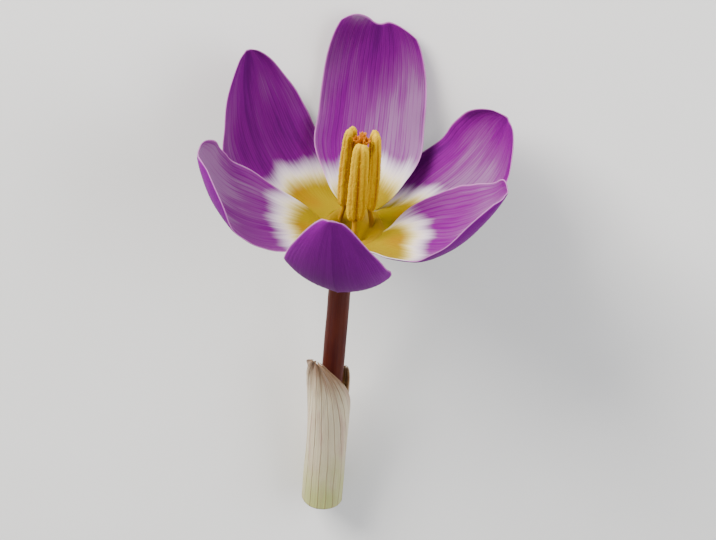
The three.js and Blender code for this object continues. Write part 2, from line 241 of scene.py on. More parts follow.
@dataclass
class Skin:
    """A closed mesh in the making: points in millimetres, faces, and what the materials read.

    fields are one number for each point. slots gives each face's material.
    """

    points: Array
    faces: list[tuple[int, ...]]
    fields: dict[str, Array] = field(default_factory=dict)
    slots: list[int] = field(default_factory=list)

    def turned_out(self) -> "Skin":
        """Turns the faces outwards where the skin's volume comes out negative.

        Returns:
            The same skin.
        """
        total = 0.0
        for face in self.faces:
            corners = self.points[list(face)]
            for i in range(1, len(face) - 1):
                total += float(np.dot(corners[0], np.cross(corners[i], corners[i + 1])))
        if total < 0:
            self.faces = [tuple(reversed(face)) for face in self.faces]
        return self

    def joined(self, other: "Skin", slot: int = 0) -> "Skin":
        """This skin with another one beside it.

        Args:
            other: the skin to add.
            slot: added to the material slots of its faces.

        Returns:
            One skin that holds both. A field that one of them lacks is 0 there.
        """
        first = len(self.points)
        names = set(self.fields) | set(other.fields)
        fields = {
            name: np.concatenate([
                self.fields.get(name, np.zeros(first)),
                other.fields.get(name, np.zeros(len(other.points))),
            ])
            for name in names
        }
        mine = self.slots or [0] * len(self.faces)
        theirs = [s + slot for s in (other.slots or [0] * len(other.faces))]
        moved = [tuple(i + first for i in face) for face in other.faces]
        points = np.concatenate([self.points, other.points])
        return Skin(points, self.faces + moved, fields, mine + theirs)

    def piece(self, name: str, materials: Sequence[bpy.types.Material]) -> bpy.types.Object:
        """Writes the skin as a smooth-shaded object at the origin, laid down and in metres.

        Args:
            name: the object's name.
            materials: its material slots, in order.

        Returns:
            The new object, linked to the scene.
        """
        mesh = bpy.data.meshes.new(name)
        mesh.from_pydata(POSE.metres(POSE.pressed(self.points)).tolist(), [], self.faces)
        for material in materials:
            mesh.materials.append(material)
        if self.slots:
            mesh.polygons.foreach_set("material_index", self.slots)
        for title, values in self.fields.items():
            layer = mesh.attributes.new(title, "FLOAT", "POINT")
            layer.data.foreach_set("value", np.asarray(values, np.float32).ravel())
        mesh.polygons.foreach_set("use_smooth", [True] * len(mesh.polygons))
        mesh.update()
        return linked(name, mesh)


def grid_faces(first: int, rows: int, columns: int, wrapped: bool = False) -> list[tuple[int, ...]]:
    """Quads of a grid of points.

    Args:
        first: the index of its first point.
        rows: cells along it.
        columns: cells across it.
        wrapped: whether the last column meets the first.

    Returns:
        The corners of each quad.
    """
    stride = columns if wrapped else columns + 1
    faces = []
    for i in range(rows):
        for j in range(columns):
            near, far = first + i * stride, first + (i + 1) * stride
            k = (j + 1) % stride
            faces.append((near + j, near + k, far + k, far + j))
    return faces


def sheet_skin(top: Array, bottom: Array, fields: dict[str, Array]) -> Skin:
    """A thin closed sheet from the grids of points of its two faces.

    Args:
        top: rows x columns x 3 points of one face, called the inside.
        bottom: the same for the other face, called the outside.
        fields: rows x columns numbers that both faces share.

    Returns:
        The skin, with the field outside at 0 on the top and 1 on the bottom.
    """
    rows, columns = top.shape[0] - 1, top.shape[1] - 1
    count = (rows + 1) * (columns + 1)
    faces = grid_faces(0, rows, columns)
    faces += [tuple(reversed(face)) for face in grid_faces(count, rows, columns)]
    stride = columns + 1
    rim = [(j, j + 1) for j in range(columns)]
    rim += [(i * stride + columns, (i + 1) * stride + columns) for i in range(rows)]
    rim += [(rows * stride + j + 1, rows * stride + j) for j in range(columns)]
    rim += [((i + 1) * stride, i * stride) for i in range(rows)]
    faces += [(b, a, a + count, b + count) for a, b in rim]
    both = {name: np.tile(values.ravel(), 2) for name, values in fields.items()}
    both["outside"] = np.repeat([0.0, 1.0], count)
    points = np.concatenate([top.reshape(-1, 3), bottom.reshape(-1, 3)])
    return Skin(points, faces, both).turned_out()


def loft_skin(rings: Array, fields: dict[str, Array] | None = None) -> Skin:
    """A closed body skinned over rings of points, with a fan at each end.

    Args:
        rings: rings x sides x 3 points.
        fields: rings x sides numbers.

    Returns:
        The skin.
    """
    count, sides = rings.shape[:2]
    points = np.concatenate([rings.reshape(-1, 3), rings[:1].mean(axis=1), rings[-1:].mean(axis=1)])
    faces = grid_faces(0, count - 1, sides, wrapped=True)
    for end, centre in ((0, count * sides), ((count - 1) * sides, count * sides + 1)):
        for j in range(sides):
            a, b = end + j, end + (j + 1) % sides
            faces.append((centre, b, a) if end == 0 else (centre, a, b))
    spread = {}
    for name, values in (fields or {}).items():
        spread[name] = np.concatenate([values.ravel(), [values[0].mean(), values[-1].mean()]])
    return Skin(points, faces, spread).turned_out()


def pipe_skin(outer: Array, inner: Array, fields: dict[str, Array]) -> Skin:
    """An open pipe between two sets of rings.

    Args:
        outer: rings x sides x 3 points of the outer wall.
        inner: the same for the bore.
        fields: rings x sides numbers that both walls share.

    Returns:
        The skin, with the field outside at 1 on the outer wall and 0 in the bore.
    """
    count, sides = outer.shape[:2]
    inside = count * sides
    faces = grid_faces(0, count - 1, sides, wrapped=True)
    faces += [tuple(reversed(face)) for face in grid_faces(inside, count - 1, sides, wrapped=True)]
    end = (count - 1) * sides
    for j in range(sides):
        k = (j + 1) % sides
        faces.append((k, j, inside + j, inside + k))
        faces.append((end + j, end + k, inside + end + k, inside + end + j))
    both = {name: np.tile(values.ravel(), 2) for name, values in fields.items()}
    both["outside"] = np.repeat([1.0, 0.0], inside)
    return Skin(np.concatenate([outer.reshape(-1, 3), inner.reshape(-1, 3)]), faces, both).turned_out()


# ---------------------------------------------------------------- geometry nodes


class NodeTree:
    """A geometry node tree with named inputs, run once on an object and turned into a plain mesh."""

    def __init__(self, name: str) -> None:
        """Starts an empty tree.

        Args:
            name: the tree's name.
        """
        self.tree = bpy.data.node_groups.new(name, "GeometryNodeTree")
        self.tree.interface.new_socket("Geometry", in_out="INPUT", socket_type="NodeSocketGeometry")
        self.tree.interface.new_socket("Geometry", in_out="OUTPUT", socket_type="NodeSocketGeometry")
        self.start = self.tree.nodes.new("NodeGroupInput")
        self.end = self.tree.nodes.new("NodeGroupOutput")
        self.identifiers: dict[str, str] = {}

    def input(self, name: str, kind: str) -> Socket:
        """Adds a named input.

        Args:
            name: the input's name.
            kind: its socket type, such as NodeSocketFloat.

        Returns:
            The socket to link from.
        """
        made = self.tree.interface.new_socket(name, in_out="INPUT", socket_type=kind)
        self.identifiers[name] = made.identifier
        return self.start.outputs[name]

    def add(self, kind: str, links: dict[str, object] | None = None, **settings: object) -> bpy.types.Node:
        """Adds a node.

        Args:
            kind: the node's type.
            links: what each of its inputs gets, a socket to link or a plain value.
            settings: its properties.

        Returns:
            The node.
        """
        node = self.tree.nodes.new(kind)
        for name, value in settings.items():
            setattr(node, name, value)
        for name, value in (links or {}).items():
            socket = next(s for s in node.inputs if s.name == name and s.enabled)
            if isinstance(value, bpy.types.NodeSocket):
                self.tree.links.new(value, socket)
            else:
                socket.default_value = value
        return node

    def output(self, node: bpy.types.Node, kind: str) -> Socket:
        """The enabled output of a node that has this name."""
        return next(s for s in node.outputs if s.name == kind and s.enabled)

    def finish(self, geometry: Socket) -> None:
        """Links the tree's result to its end."""
        self.tree.links.new(geometry, self.end.inputs[0])

    def run(self, thing: bpy.types.Object, values: dict[str, object]) -> None:
        """Runs the tree on an object and keeps the result as its plain mesh.

        Args:
            thing: the object, whose mesh is replaced.
            values: the tree's inputs by name.
        """
        modifier = thing.modifiers.new(self.tree.name, "NODES")
        modifier.node_group = self.tree
        for name, value in values.items():
            modifier[self.identifiers[name]] = value
        graph = bpy.context.evaluated_depsgraph_get()
        made = bpy.data.meshes.new_from_object(
            thing.evaluated_get(graph), preserve_all_data_layers=True, depsgraph=graph
        )
        thing.modifiers.remove(modifier)
        thing.data = made


def strand_tree() -> NodeTree:
    """Round strands along edges, each point as thick as its attribute thick says.

    Returns:
        The tree, with the inputs Sides and Finish.
    """
    tree = NodeTree("strands")
    sides = tree.input("Sides", "NodeSocketInt")
    finish = tree.input("Finish", "NodeSocketMaterial")
    thick = tree.add("GeometryNodeInputNamedAttribute", {"Name": "thick"}, data_type="FLOAT")
    lines = tree.add("GeometryNodeMeshToCurve", {"Mesh": tree.start.outputs["Geometry"]})
    round_one = tree.add("GeometryNodeCurvePrimitiveCircle", {"Resolution": sides, "Radius": 1.0})
    swept = tree.add("GeometryNodeCurveToMesh", {
        "Curve": lines.outputs["Curve"],
        "Profile Curve": round_one.outputs["Curve"],
        "Scale": tree.output(thick, "Attribute"),
        "Fill Caps": True,
    })
    even = tree.add("GeometryNodeSetShadeSmooth", {"Geometry": swept.outputs["Mesh"]})
    real = tree.add("GeometryNodeRealizeInstances", {"Geometry": even.outputs["Geometry"]})
    dressed = tree.add("GeometryNodeSetMaterial", {
        "Geometry": real.outputs["Geometry"], "Material": finish,
    })
    tree.finish(dressed.outputs["Geometry"])
    return tree


def grain_tree() -> NodeTree:
    """Small grains scattered over a surface, as dense as its attribute dusty says.

    Returns:
        The tree, with the inputs Density, Radius, Smallest, Largest, Seed and Finish.
    """
    tree = NodeTree("grains")
    density = tree.input("Density", "NodeSocketFloat")
    radius = tree.input("Radius", "NodeSocketFloat")
    smallest = tree.input("Smallest", "NodeSocketFloat")
    largest = tree.input("Largest", "NodeSocketFloat")
    seed = tree.input("Seed", "NodeSocketInt")
    finish = tree.input("Finish", "NodeSocketMaterial")
    body = tree.start.outputs["Geometry"]
    dusty = tree.add("GeometryNodeInputNamedAttribute", {"Name": "dusty"}, data_type="FLOAT")
    wanted = tree.add("ShaderNodeMath", operation="MULTIPLY")
    tree.tree.links.new(density, wanted.inputs[0])
    tree.tree.links.new(tree.output(dusty, "Attribute"), wanted.inputs[1])
    spots = tree.add("GeometryNodeDistributePointsOnFaces", {
        "Mesh": body, "Density": wanted.outputs[0], "Seed": seed,
    })
    grain = tree.add("GeometryNodeMeshIcoSphere", {"Radius": radius, "Subdivisions": 1})
    size = tree.add("FunctionNodeRandomValue", {
        "Min": smallest, "Max": largest, "Seed": seed,
    }, data_type="FLOAT")
    placed = tree.add("GeometryNodeInstanceOnPoints", {
        "Points": spots.outputs["Points"],
        "Instance": grain.outputs["Mesh"],
        "Rotation": spots.outputs["Rotation"],
        "Scale": tree.output(size, "Value"),
    })
    real = tree.add("GeometryNodeRealizeInstances", {"Geometry": placed.outputs["Instances"]})
    even = tree.add("GeometryNodeSetShadeSmooth", {"Geometry": real.outputs["Geometry"]})
    dressed = tree.add("GeometryNodeSetMaterial", {
        "Geometry": even.outputs["Geometry"], "Material": finish,
    })
    both = tree.add("GeometryNodeJoinGeometry")
    tree.tree.links.new(dressed.outputs["Geometry"], both.inputs[0])
    tree.tree.links.new(body, both.inputs[0])
    tree.finish(both.outputs["Geometry"])
    return tree


STRANDS = strand_tree()
GRAINS = grain_tree()


def strands(
    name: str, lines: Sequence[tuple[Array, Array]], sides: int, finish: bpy.types.Material
) -> bpy.types.Object:
    """Round strands along lines.

    Args:
        name: the object's name.
        lines: each strand's points and its radius at each, in millimetres.
        sides: faces round a strand.
        finish: the strands' material.

    Returns:
        The object, with its plain mesh.
    """
    mesh = bpy.data.meshes.new(name)
    points = np.concatenate([POSE.metres(path) for path, _ in lines])
    edges, first = [], 0
    for path, _ in lines:
        edges += [(first + i, first + i + 1) for i in range(len(path) - 1)]
        first += len(path)
    mesh.from_pydata(points.tolist(), edges, [])
    layer = mesh.attributes.new("thick", "FLOAT", "POINT")
    layer.data.foreach_set("value", np.concatenate([r for _, r in lines]).astype(np.float32) * MM)
    thing = linked(name, mesh)
    STRANDS.run(thing, {"Sides": sides, "Finish": finish})
    return thing


def merged(name: str, things: Sequence[bpy.types.Object]) -> bpy.types.Object:
    """Several objects as one plain mesh that keeps their materials.

    Args:
        name: the new object's name.
        things: the objects, which are removed.

    Returns:
        The one object.
    """
    whole = bmesh.new()
    materials: list[bpy.types.Material] = []
    for thing in things:
        before = len(whole.faces)
        whole.from_mesh(thing.data)
        whole.faces.ensure_lookup_table()
        for material in thing.data.materials:
            if material not in materials:
                materials.append(material)
        for face in whole.faces[before:]:
            face.material_index = materials.index(thing.data.materials[face.material_index])
    mesh = bpy.data.meshes.new(name)
    whole.to_mesh(mesh)
    whole.free()
    for material in materials:
        mesh.materials.append(material)
    for thing in things:
        bpy.data.objects.remove(thing)
    return linked(name, mesh)


def hand_over(piece: bpy.types.Object, node: str) -> None:
    """Lets a finished piece stand for its CAD node, and reports it.

    Args:
        piece: the object.
        node: the CAD node that it replaces.
    """
    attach(piece, BODY)
    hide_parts(node)
    LOG.info("%s stands for %s: %d faces", piece.name, node, len(piece.data.polygons))


# ---------------------------------------------------------------- finishes


class Recipe:
    """A material's node tree, written as small steps."""

    def __init__(self, name: str) -> None:
        """Starts a material with one Principled shader.

        Args:
            name: the material's name.
        """
        self.material = bpy.data.materials.new(name)
        self.material.use_nodes = True
        self.tree = self.material.node_tree
        self.shader = self.tree.nodes["Principled BSDF"]

    def put(self, socket: Socket, value: object) -> None:
        """Links an input, or sets it to a plain value or colour.

        Args:
            socket: the input.
            value: a socket to link, a number or a colour.
        """
        if isinstance(value, bpy.types.NodeSocket):
            self.tree.links.new(value, socket)
        elif isinstance(value, tuple) and len(value) == 3 and socket.type == "RGBA":
            socket.default_value = (*value, 1.0)
        else:
            socket.default_value = value

    def attribute(self, name: str) -> Socket:
        """Reads one of the piece's own attributes.

        Args:
            name: the attribute's name.

        Returns:
            Its value.
        """
        node = self.tree.nodes.new("ShaderNodeAttribute")
        node.attribute_name = name
        return node.outputs["Fac"]

    def place(self) -> Socket:
        """The point's place in the object, in metres."""
        return self.tree.nodes.new("ShaderNodeTexCoord").outputs["Object"]

    def math(self, operation: str, first: object, second: object = 0.0) -> Socket:
        """One step of arithmetic.

        Args:
            operation: the Math node's operation.
            first: a socket or a number.
            second: a socket or a number, where the operation takes two.

        Returns:
            The result.
        """
        node = self.tree.nodes.new("ShaderNodeMath")
        node.operation = operation
        for socket, value in zip(node.inputs, (first, second), strict=False):
            self.put(socket, value)
        return node.outputs[0]

    def total(self, *terms: object) -> Socket:
        """The sum of sockets and numbers."""
        return reduce(partial(self.math, "ADD"), terms)

    def times(self, *terms: object) -> Socket:
        """The product of sockets and numbers."""
        return reduce(partial(self.math, "MULTIPLY"), terms)

    def less(self, first: object, second: object) -> Socket:
        """The first value less the second."""
        return self.math("SUBTRACT", first, second)

    def fade(self, low: float, high: float, value: object) -> Socket:
        """Rises smoothly from 0 at low to 1 at high.

        Args:
            low: where the rise begins.
            high: where it is complete.
            value: a socket.

        Returns:
            The shaped value.
        """
        node = self.tree.nodes.new("ShaderNodeMapRange")
        node.interpolation_type = "SMOOTHSTEP"
        self.put(node.inputs["Value"], value)
        node.inputs["From Min"].default_value = low
        node.inputs["From Max"].default_value = high
        return node.outputs["Result"]

    def drop(self, low: float, high: float, value: object) -> Socket:
        """Falls smoothly from 1 at low to 0 at high."""
        return self.less(1.0, self.fade(low, high, value))

    def lines(self, across: Socket, rows: float, width: float) -> Socket:
        """Lines at even steps across a piece.

        Args:
            across: the place, from -1 to 1.
            rows: how many lines lie between the middle and a margin.
            width: how wide they are, up to 1.

        Returns:
            1 on a line and 0 between.
        """
        swung = self.math("SINE", self.times(across, math.pi * rows))
        return self.drop(0.0, width, self.math("ABSOLUTE", swung))

    def vector(self, x: object, y: object, z: object = 0.0) -> Socket:
        """Joins three values.

        Args:
            x: a socket or a number.
            y: a socket or a number.
            z: a socket or a number.

        Returns:
            The vector.
        """
        node = self.tree.nodes.new("ShaderNodeCombineXYZ")
        for socket, value in zip(node.inputs, (x, y, z), strict=True):
            self.put(socket, value)
        return node.outputs[0]

    def noise(self, vector: Socket, scale: float = 1.0, detail: float = 2.0, rough: float = 0.5) -> Socket:
        """Soft noise, from about 0 to 1.

        Args:
            vector: where it is read.
            scale: how fine it is.
            detail: how many finer layers it has.
            rough: how strong those are.

        Returns:
            The noise.
        """
        node = self.tree.nodes.new("ShaderNodeTexNoise")
        self.put(node.inputs["Vector"], vector)
        node.inputs["Scale"].default_value = scale
        node.inputs["Detail"].default_value = detail
        node.inputs["Roughness"].default_value = rough
        return node.outputs["Fac"]

    def swing(self, noise: Socket, height: float) -> Socket:
        """Noise moved to swing about 0 by this height."""
        return self.math("MULTIPLY", self.less(noise, 0.5), 2.0 * height)

    def mix(self, share: object, first: object, second: object) -> Socket:
        """Blends two colours.

        Args:
            share: 0 gives the first and 1 the second.
            first: a socket or a colour.
            second: a socket or a colour.

        Returns:
            The blend.
        """
        node = self.tree.nodes.new("ShaderNodeMix")
        node.data_type = "RGBA"
        node.clamp_factor = True
        self.put(node.inputs["Factor"], share)
        self.put(next(s for s in node.inputs if s.name == "A" and s.type == "RGBA"), first)
        self.put(next(s for s in node.inputs if s.name == "B" and s.type == "RGBA"), second)
        return next(s for s in node.outputs if s.type == "RGBA")

    def ramp(self, value: Socket, stops: Sequence[tuple[float, Colour]]) -> Socket:
        """A run of colours.

        Args:
            value: a socket from 0 to 1.
            stops: the places and their colours.

        Returns:
            The colour.
        """
        node = self.tree.nodes.new("ShaderNodeValToRGB")
        node.color_ramp.interpolation = "EASE"
        elements = node.color_ramp.elements
        while len(elements) < len(stops):
            elements.new(0.5)
        for element, (place, colour) in zip(elements, stops, strict=True):
            element.position = place
            element.color = (*colour, 1.0)
        self.put(node.inputs[0], value)
        return node.outputs["Color"]

    def relief(self, height: Socket, distance: float, strength: float) -> None:
        """Gives the shader a fine relief.

        Args:
            height: the relief, from 0 to 1.
            distance: its depth in metres.
            strength: its share.
        """
        node = self.tree.nodes.new("ShaderNodeBump")
        node.inputs["Distance"].default_value = distance
        node.inputs["Strength"].default_value = strength
        self.put(node.inputs["Height"], height)
        self.put(self.shader.inputs["Normal"], node.outputs["Normal"])

    def shade(self, **values: object) -> bpy.types.Material:
        """Sets the shader's inputs, with _ for a space in their names.

        Args:
            values: sockets, numbers or colours.

        Returns:
            The finished material.
        """
        for name, value in values.items():
            self.put(self.shader.inputs[name.replace("_", " ")], value)
        return self.material


@dataclass(frozen=True)
class TepalMarks:
    """What a tepal's colours follow: places on its blade, and its streaks, threads and veins.

    along is in millimetres from the throat, middle is 0 on the midrib and 1 at the margins, share runs
    to 1 at the tip, and zone is along as the white band takes it.
    """

    along: Socket
    middle: Socket
    share: Socket
    zone: Socket
    # pale: painted sheen and highlight where above 0, painted shade where below 0, partly the tepal's own
    # tone.
    pale: Socket
    streak: Socket
    thread: Socket
    veins: Socket


@dataclass(frozen=True)
class TepalFinish:
    """Satin tepal: a gold foot, a white band, and violet veined to the tip. Colours are linear."""

    name: str
    gold: Colour = (0.24, 0.165, 0.0)
    orange: Colour = (0.25, 0.125, 0.0)
    cream: Colour = (0.56, 0.46, 0.05)
    white: Colour = (0.80, 0.76, 0.83)
    mauve: Colour = (0.185, 0.082, 0.190)
    lilac: Colour = (0.140, 0.024, 0.145)
    violet: Colour = (0.120, 0.0, 0.130)
    deep: Colour = (0.078, 0.0, 0.094)
    # rim: the margin line's pink, partly the margin's own paleness and partly a painted rim highlight.
    rim: Colour = (0.48, 0.20, 0.43)
    back_pale: Colour = (0.14, 0.003, 0.16)
    back_deep: Colour = (0.085, 0.0, 0.105)
    gold_end: float = 7.2
    white_end: float = 9.0
    vein_rows: int = TEPAL_VEINS
    streaks: float = 4.0
    threads: float = 24.0

    def veins(self, recipe: Recipe, along: Socket, across: Socket) -> Socket:
        """Fine lengthwise veins, twice as many beyond the white band.

        Args:
            recipe: the material in the making.
            along: millimetres from the throat.
            across: from -1 to 1 between the margins.

        Returns:
            1 on a vein and 0 between.
        """
        sway = recipe.noise(recipe.vector(recipe.times(across, 2.0), recipe.times(along, 0.25)))
        place = recipe.total(across, recipe.swing(sway, 0.014))
        between = recipe.lines(place, 2 * self.vein_rows, 0.50)
        finer = recipe.times(between, recipe.fade(10.0, 17.0, along), 0.6)
        return recipe.math("MAXIMUM", recipe.lines(place, self.vein_rows, 0.40), finer)

    def marks(self, r: Recipe) -> TepalMarks:
        """Reads the blade's attributes, and lays streaks, threads and veins along it.

        Args:
            r: the material in the making.

        Returns:
            What the colours follow.
        """
        along, across, kind = r.attribute("along"), r.attribute("across"), r.attribute("kind")
        streak = r.vector(r.times(across, self.streaks), r.times(along, 0.07), kind)
        thread = r.vector(r.times(across, self.threads), r.times(along, 0.09), kind)
        return TepalMarks(
            along=along, middle=r.math("ABSOLUTE", across), share=r.attribute("share"),
            zone=r.attribute("zone"), pale=r.attribute("pale"), streak=r.noise(streak, 1.0, 2.0),
            thread=r.noise(thread, 1.0, 3.0), veins=self.veins(r, along, across),
        )

    def inside(self, r: Recipe, m: TepalMarks) -> tuple[Socket, Socket]:
        """The inner face: a gold foot with an orange flame, a frayed white band, then violet.

        Args:
            r: the material in the making.
            m: what the colours follow.

        Returns:
            Its colour, and 1 where the violet is reached.
        """
        feather = r.total(m.zone, r.swing(m.thread, 0.8), r.swing(m.streak, 1.4))
        gold = r.drop(self.gold_end - 1.6, self.gold_end + 1.8, feather)
        cream = r.drop(self.gold_end - 0.5, self.gold_end + 3.6, feather)
        flame = r.times(r.drop(0.0, 0.42, m.middle), r.fade(1.0, 4.0, m.along), gold)
        frayed = r.total(m.zone, r.swing(m.thread, 0.8), r.swing(m.streak, 2.2), r.times(m.veins, 0.25))
        coloured = r.fade(self.white_end - 1.6, self.white_end + 3.4, frayed)

        tip = r.fade(0.74, 1.02, m.share)
        rib = r.times(r.drop(0.0, 0.20, m.middle), r.fade(0.45, 0.9, m.share))
        # The pale patches lift the violet towards mauve as painted sheen and highlight, and deepen it as
        # painted shade where their strength is negative; partly the tepal's own tone.
        depth = r.total(
            0.50, r.times(tip, 0.30), r.times(rib, 0.22), r.times(m.veins, 0.26),
            r.swing(m.streak, 0.50), r.swing(m.thread, 0.30), r.times(m.pale, -0.62),
        )
        stops = ((0.0, self.mauve), (0.36, self.lilac), (0.70, self.violet), (1.0, self.deep))
        band = r.mix(r.times(cream, 0.85), self.white, self.cream)
        foot = r.mix(r.times(flame, 0.8), self.gold, self.orange)
        return r.mix(gold, r.mix(coloured, band, r.ramp(depth, stops)), foot), coloured

    def back(self, r: Recipe, m: TepalMarks) -> Socket:
        """The outer face: violet over a yellow foot.

        Args:
            r: the material in the making.
            m: what the colours follow.

        Returns:
            Its colour.
        """
        # The pale patches lighten the outer face's violet as painted sheen, and darken it as painted shade
        # where negative; partly its own tone.
        depth = r.total(
            0.42, r.times(m.veins, 0.22), r.swing(m.streak, 0.4), r.swing(m.thread, 0.2),
            r.times(r.drop(0.0, 0.12, m.middle), 0.25), r.times(m.pale, -0.4),
        )
        blade = r.mix(depth, self.back_pale, self.back_deep)
        ragged = r.fade(1.5, 7.0, r.total(m.along, r.swing(m.thread, 2.0)))
        return r.mix(r.fade(0.3, 2.6, m.along), self.gold, r.mix(ragged, self.cream, blade))

    def material(self) -> bpy.types.Material:
        """Builds the material, with a pale line along the margin that is partly a painted rim highlight.

        Returns:
            The finished material.
        """
        r = Recipe(self.name)
        m = self.marks(r)
        inside, coloured = self.inside(r, m)
        colour = r.mix(r.attribute("outside"), inside, self.back(r, m))
        # The margin line, white over the band and foot and pink over the violet, is partly a painted rim
        # highlight.
        margin = r.times(r.drop(0.03, 0.34, r.attribute("edge")), r.fade(3.0, 6.0, m.along), 0.6)
        colour = r.mix(margin, colour, r.mix(coloured, self.white, self.rim))
        r.relief(r.total(r.times(m.thread, 0.5), r.times(m.veins, -0.5), 0.5), 0.04 * MM, 0.8)
        return r.shade(
            Base_Color=colour, Roughness=r.total(0.55, r.swing(m.thread, 0.12)), Specular_IOR_Level=0.06,
            IOR=1.3, Subsurface_Weight=0.25, Subsurface_Radius=(1.0, 0.45, 0.9),
            Subsurface_Scale=0.8 * MM, Sheen_Weight=0.02, Sheen_Roughness=0.4, Sheen_Tint=(0.9, 0.5, 1.0),
        )


@dataclass(frozen=True)
class TubeFinish:
    """The tube: golden in the throat, bronze below it and darkened further as painted shade, and pale at
    the cut end.
    """

    gold: Colour = (0.23, 0.14, 0.0)
    amber: Colour = (0.22, 0.10, 0.0)
    # bronze and plum: the tube's own dark red-brown, darkened further as painted shade.
    bronze: Colour = (0.070, 0.013, 0.006)
    plum: Colour = (0.038, 0.006, 0.007)
    cream: Colour = (0.50, 0.42, 0.20)

    def material(self) -> bpy.types.Material:
        """Builds the material.

        Returns:
            The finished material.
        """
        r = Recipe("tube skin")
        depth, around, outside = r.attribute("depth"), r.attribute("around"), r.attribute("outside")
        blotch = r.noise(r.vector(r.times(around, 5.0), r.times(depth, 0.12)), 1.0, 3.0)
        stripe = r.noise(r.vector(r.times(around, 60.0), r.times(depth, 0.05)), 1.0, 2.0)
        lower = r.mix(r.total(0.4, r.swing(blotch, 0.8), r.swing(stripe, 0.5)), self.bronze, self.plum)
        skin = r.mix(r.fade(1.2, 4.2, r.total(depth, r.swing(stripe, 1.2))), self.gold, self.amber)
        turning = r.total(depth, r.swing(stripe, 2.0), r.swing(blotch, 1.6))
        skin = r.mix(r.fade(3.5, 9.5, turning), skin, lower)
        skin = r.mix(r.fade(42.0, 58.0, r.total(depth, r.swing(stripe, 4.0))), skin, self.cream)
        lining = r.mix(r.fade(2.0, 12.0, depth), self.gold, self.amber)
        r.relief(r.total(stripe, r.times(blotch, 0.4)), 0.06 * MM, 0.8)
        return r.shade(
            Base_Color=r.mix(outside, lining, skin), Roughness=r.total(0.5, r.swing(blotch, 0.10)),
            Specular_IOR_Level=0.10, Subsurface_Weight=0.18, Subsurface_Radius=(1.0, 0.5, 0.25),
            Subsurface_Scale=0.9 * MM,
        )


@dataclass(frozen=True)
class SheathFinish:
    """Papery, silvery membrane: greenish at its foot, with brown veins, stains and a withered tip."""

    paper: Colour = (0.50, 0.43, 0.29)
    green: Colour = (0.34, 0.36, 0.13)
    blush: Colour = (0.36, 0.20, 0.17)
    vein: Colour = (0.20, 0.115, 0.055)
    withered: Colour = (0.15, 0.062, 0.022)
    veins_round: int = SHEATH_VEINS

    def material(self) -> bpy.types.Material:
        """Builds the material.

        Returns:
            The finished material.
        """
        r = Recipe("sheath paper")
        share, across, edge = r.attribute("share"), r.attribute("across"), r.attribute("edge")
        cloud = r.noise(r.vector(r.times(across, 2.5), r.times(share, 5.0)), 1.0, 4.0)
        stain = r.noise(r.vector(r.times(across, 6.0), r.times(share, 3.0), 4.0), 1.0, 4.0, 0.6)
        fibre = r.noise(r.vector(r.times(across, 40.0), r.times(share, 3.0)), 1.0, 3.0)
        bent = r.total(across, r.swing(cloud, 0.04))
        veins, between = r.lines(bent, self.veins_round, 0.30), r.lines(bent, 3 * self.veins_round, 0.34)
        colour = r.mix(r.fade(0.40, 0.0, r.total(share, r.swing(cloud, 0.25))), self.paper, self.green)
        colour = r.mix(r.times(r.fade(0.48, 0.72, stain), 0.55), colour, self.blush)
        colour = r.mix(r.times(veins, 0.62), colour, self.vein)
        colour = r.mix(r.times(between, 0.24), colour, self.vein)
        colour = r.mix(r.total(0.08, r.swing(fibre, 0.3)), colour, self.vein)
        dry = r.fade(0.66, 0.98, r.total(share, r.swing(cloud, 0.16), r.swing(fibre, 0.10)))
        torn = r.times(r.drop(0.0, 0.55, edge), 0.6)
        colour = r.mix(r.times(r.math("MAXIMUM", dry, torn), 0.85), colour, self.withered)
        r.relief(r.total(fibre, r.times(veins, 0.8), r.times(between, 0.3), stain), 0.09 * MM, 0.9)
        return r.shade(
            Base_Color=colour, Roughness=r.total(0.5, r.swing(fibre, 0.12)), Specular_IOR_Level=0.25,
            Subsurface_Weight=0.3, Subsurface_Radius=(1.0, 0.8, 0.5), Subsurface_Scale=0.9 * MM,
            Sheen_Weight=0.06,
        )


@dataclass(frozen=True)
class AntherFinish:
    """Golden anther skin, with painted shade in its grooves and slits."""

    gold: Colour = (0.57, 0.375, 0.0)
    honey: Colour = (0.54, 0.305, 0.0)
    amber: Colour = (0.27, 0.075, 0.0)

    def material(self) -> bpy.types.Material:
        """Builds the material.

        Returns:
            The finished material.
        """
        r = Recipe("anther skin")
        groove = r.attribute("groove")
        place = r.place()
        grit = r.noise(place, 9000.0, 3.0, 0.6)
        cloud = r.noise(place, 700.0, 2.0)
        colour = r.mix(r.total(0.25, r.swing(cloud, 0.6), r.swing(grit, 0.3)), self.gold, self.honey)
        # Painted shade: amber where the groove field marks the grooves, slits and furrows.
        colour = r.mix(r.times(groove, 0.9), colour, self.amber)
        r.relief(grit, 0.05 * MM, 0.9)
        return r.shade(
            Base_Color=colour, Roughness=0.8, Specular_IOR_Level=0.08, Subsurface_Weight=0.12,
            Subsurface_Radius=(1.0, 0.6, 0.1), Subsurface_Scale=0.5 * MM,
        )


@dataclass(frozen=True)
class SpeckledFinish:
    """A soft plant skin of two close colours: filament, stigma or pollen."""

    name: str
    light: Colour
    dark: Colour
    roughness: float
    fineness: float

    def material(self) -> bpy.types.Material:
        """Builds the material.

        Returns:
            The finished material.
        """
        r = Recipe(self.name)
        place = r.place()
        speckle = r.noise(place, self.fineness, 3.0, 0.6)
        cloud = r.noise(place, self.fineness / 9.0, 2.0)
        colour = r.mix(r.total(0.4, r.swing(speckle, 0.7), r.swing(cloud, 0.5)), self.light, self.dark)
        r.relief(speckle, 0.04 * MM, 0.7)
        return r.shade(
            Base_Color=colour, Roughness=self.roughness, Specular_IOR_Level=0.15, Subsurface_Weight=0.15,
            Subsurface_Radius=(1.0, 0.5, 0.1), Subsurface_Scale=0.5 * MM,
        )


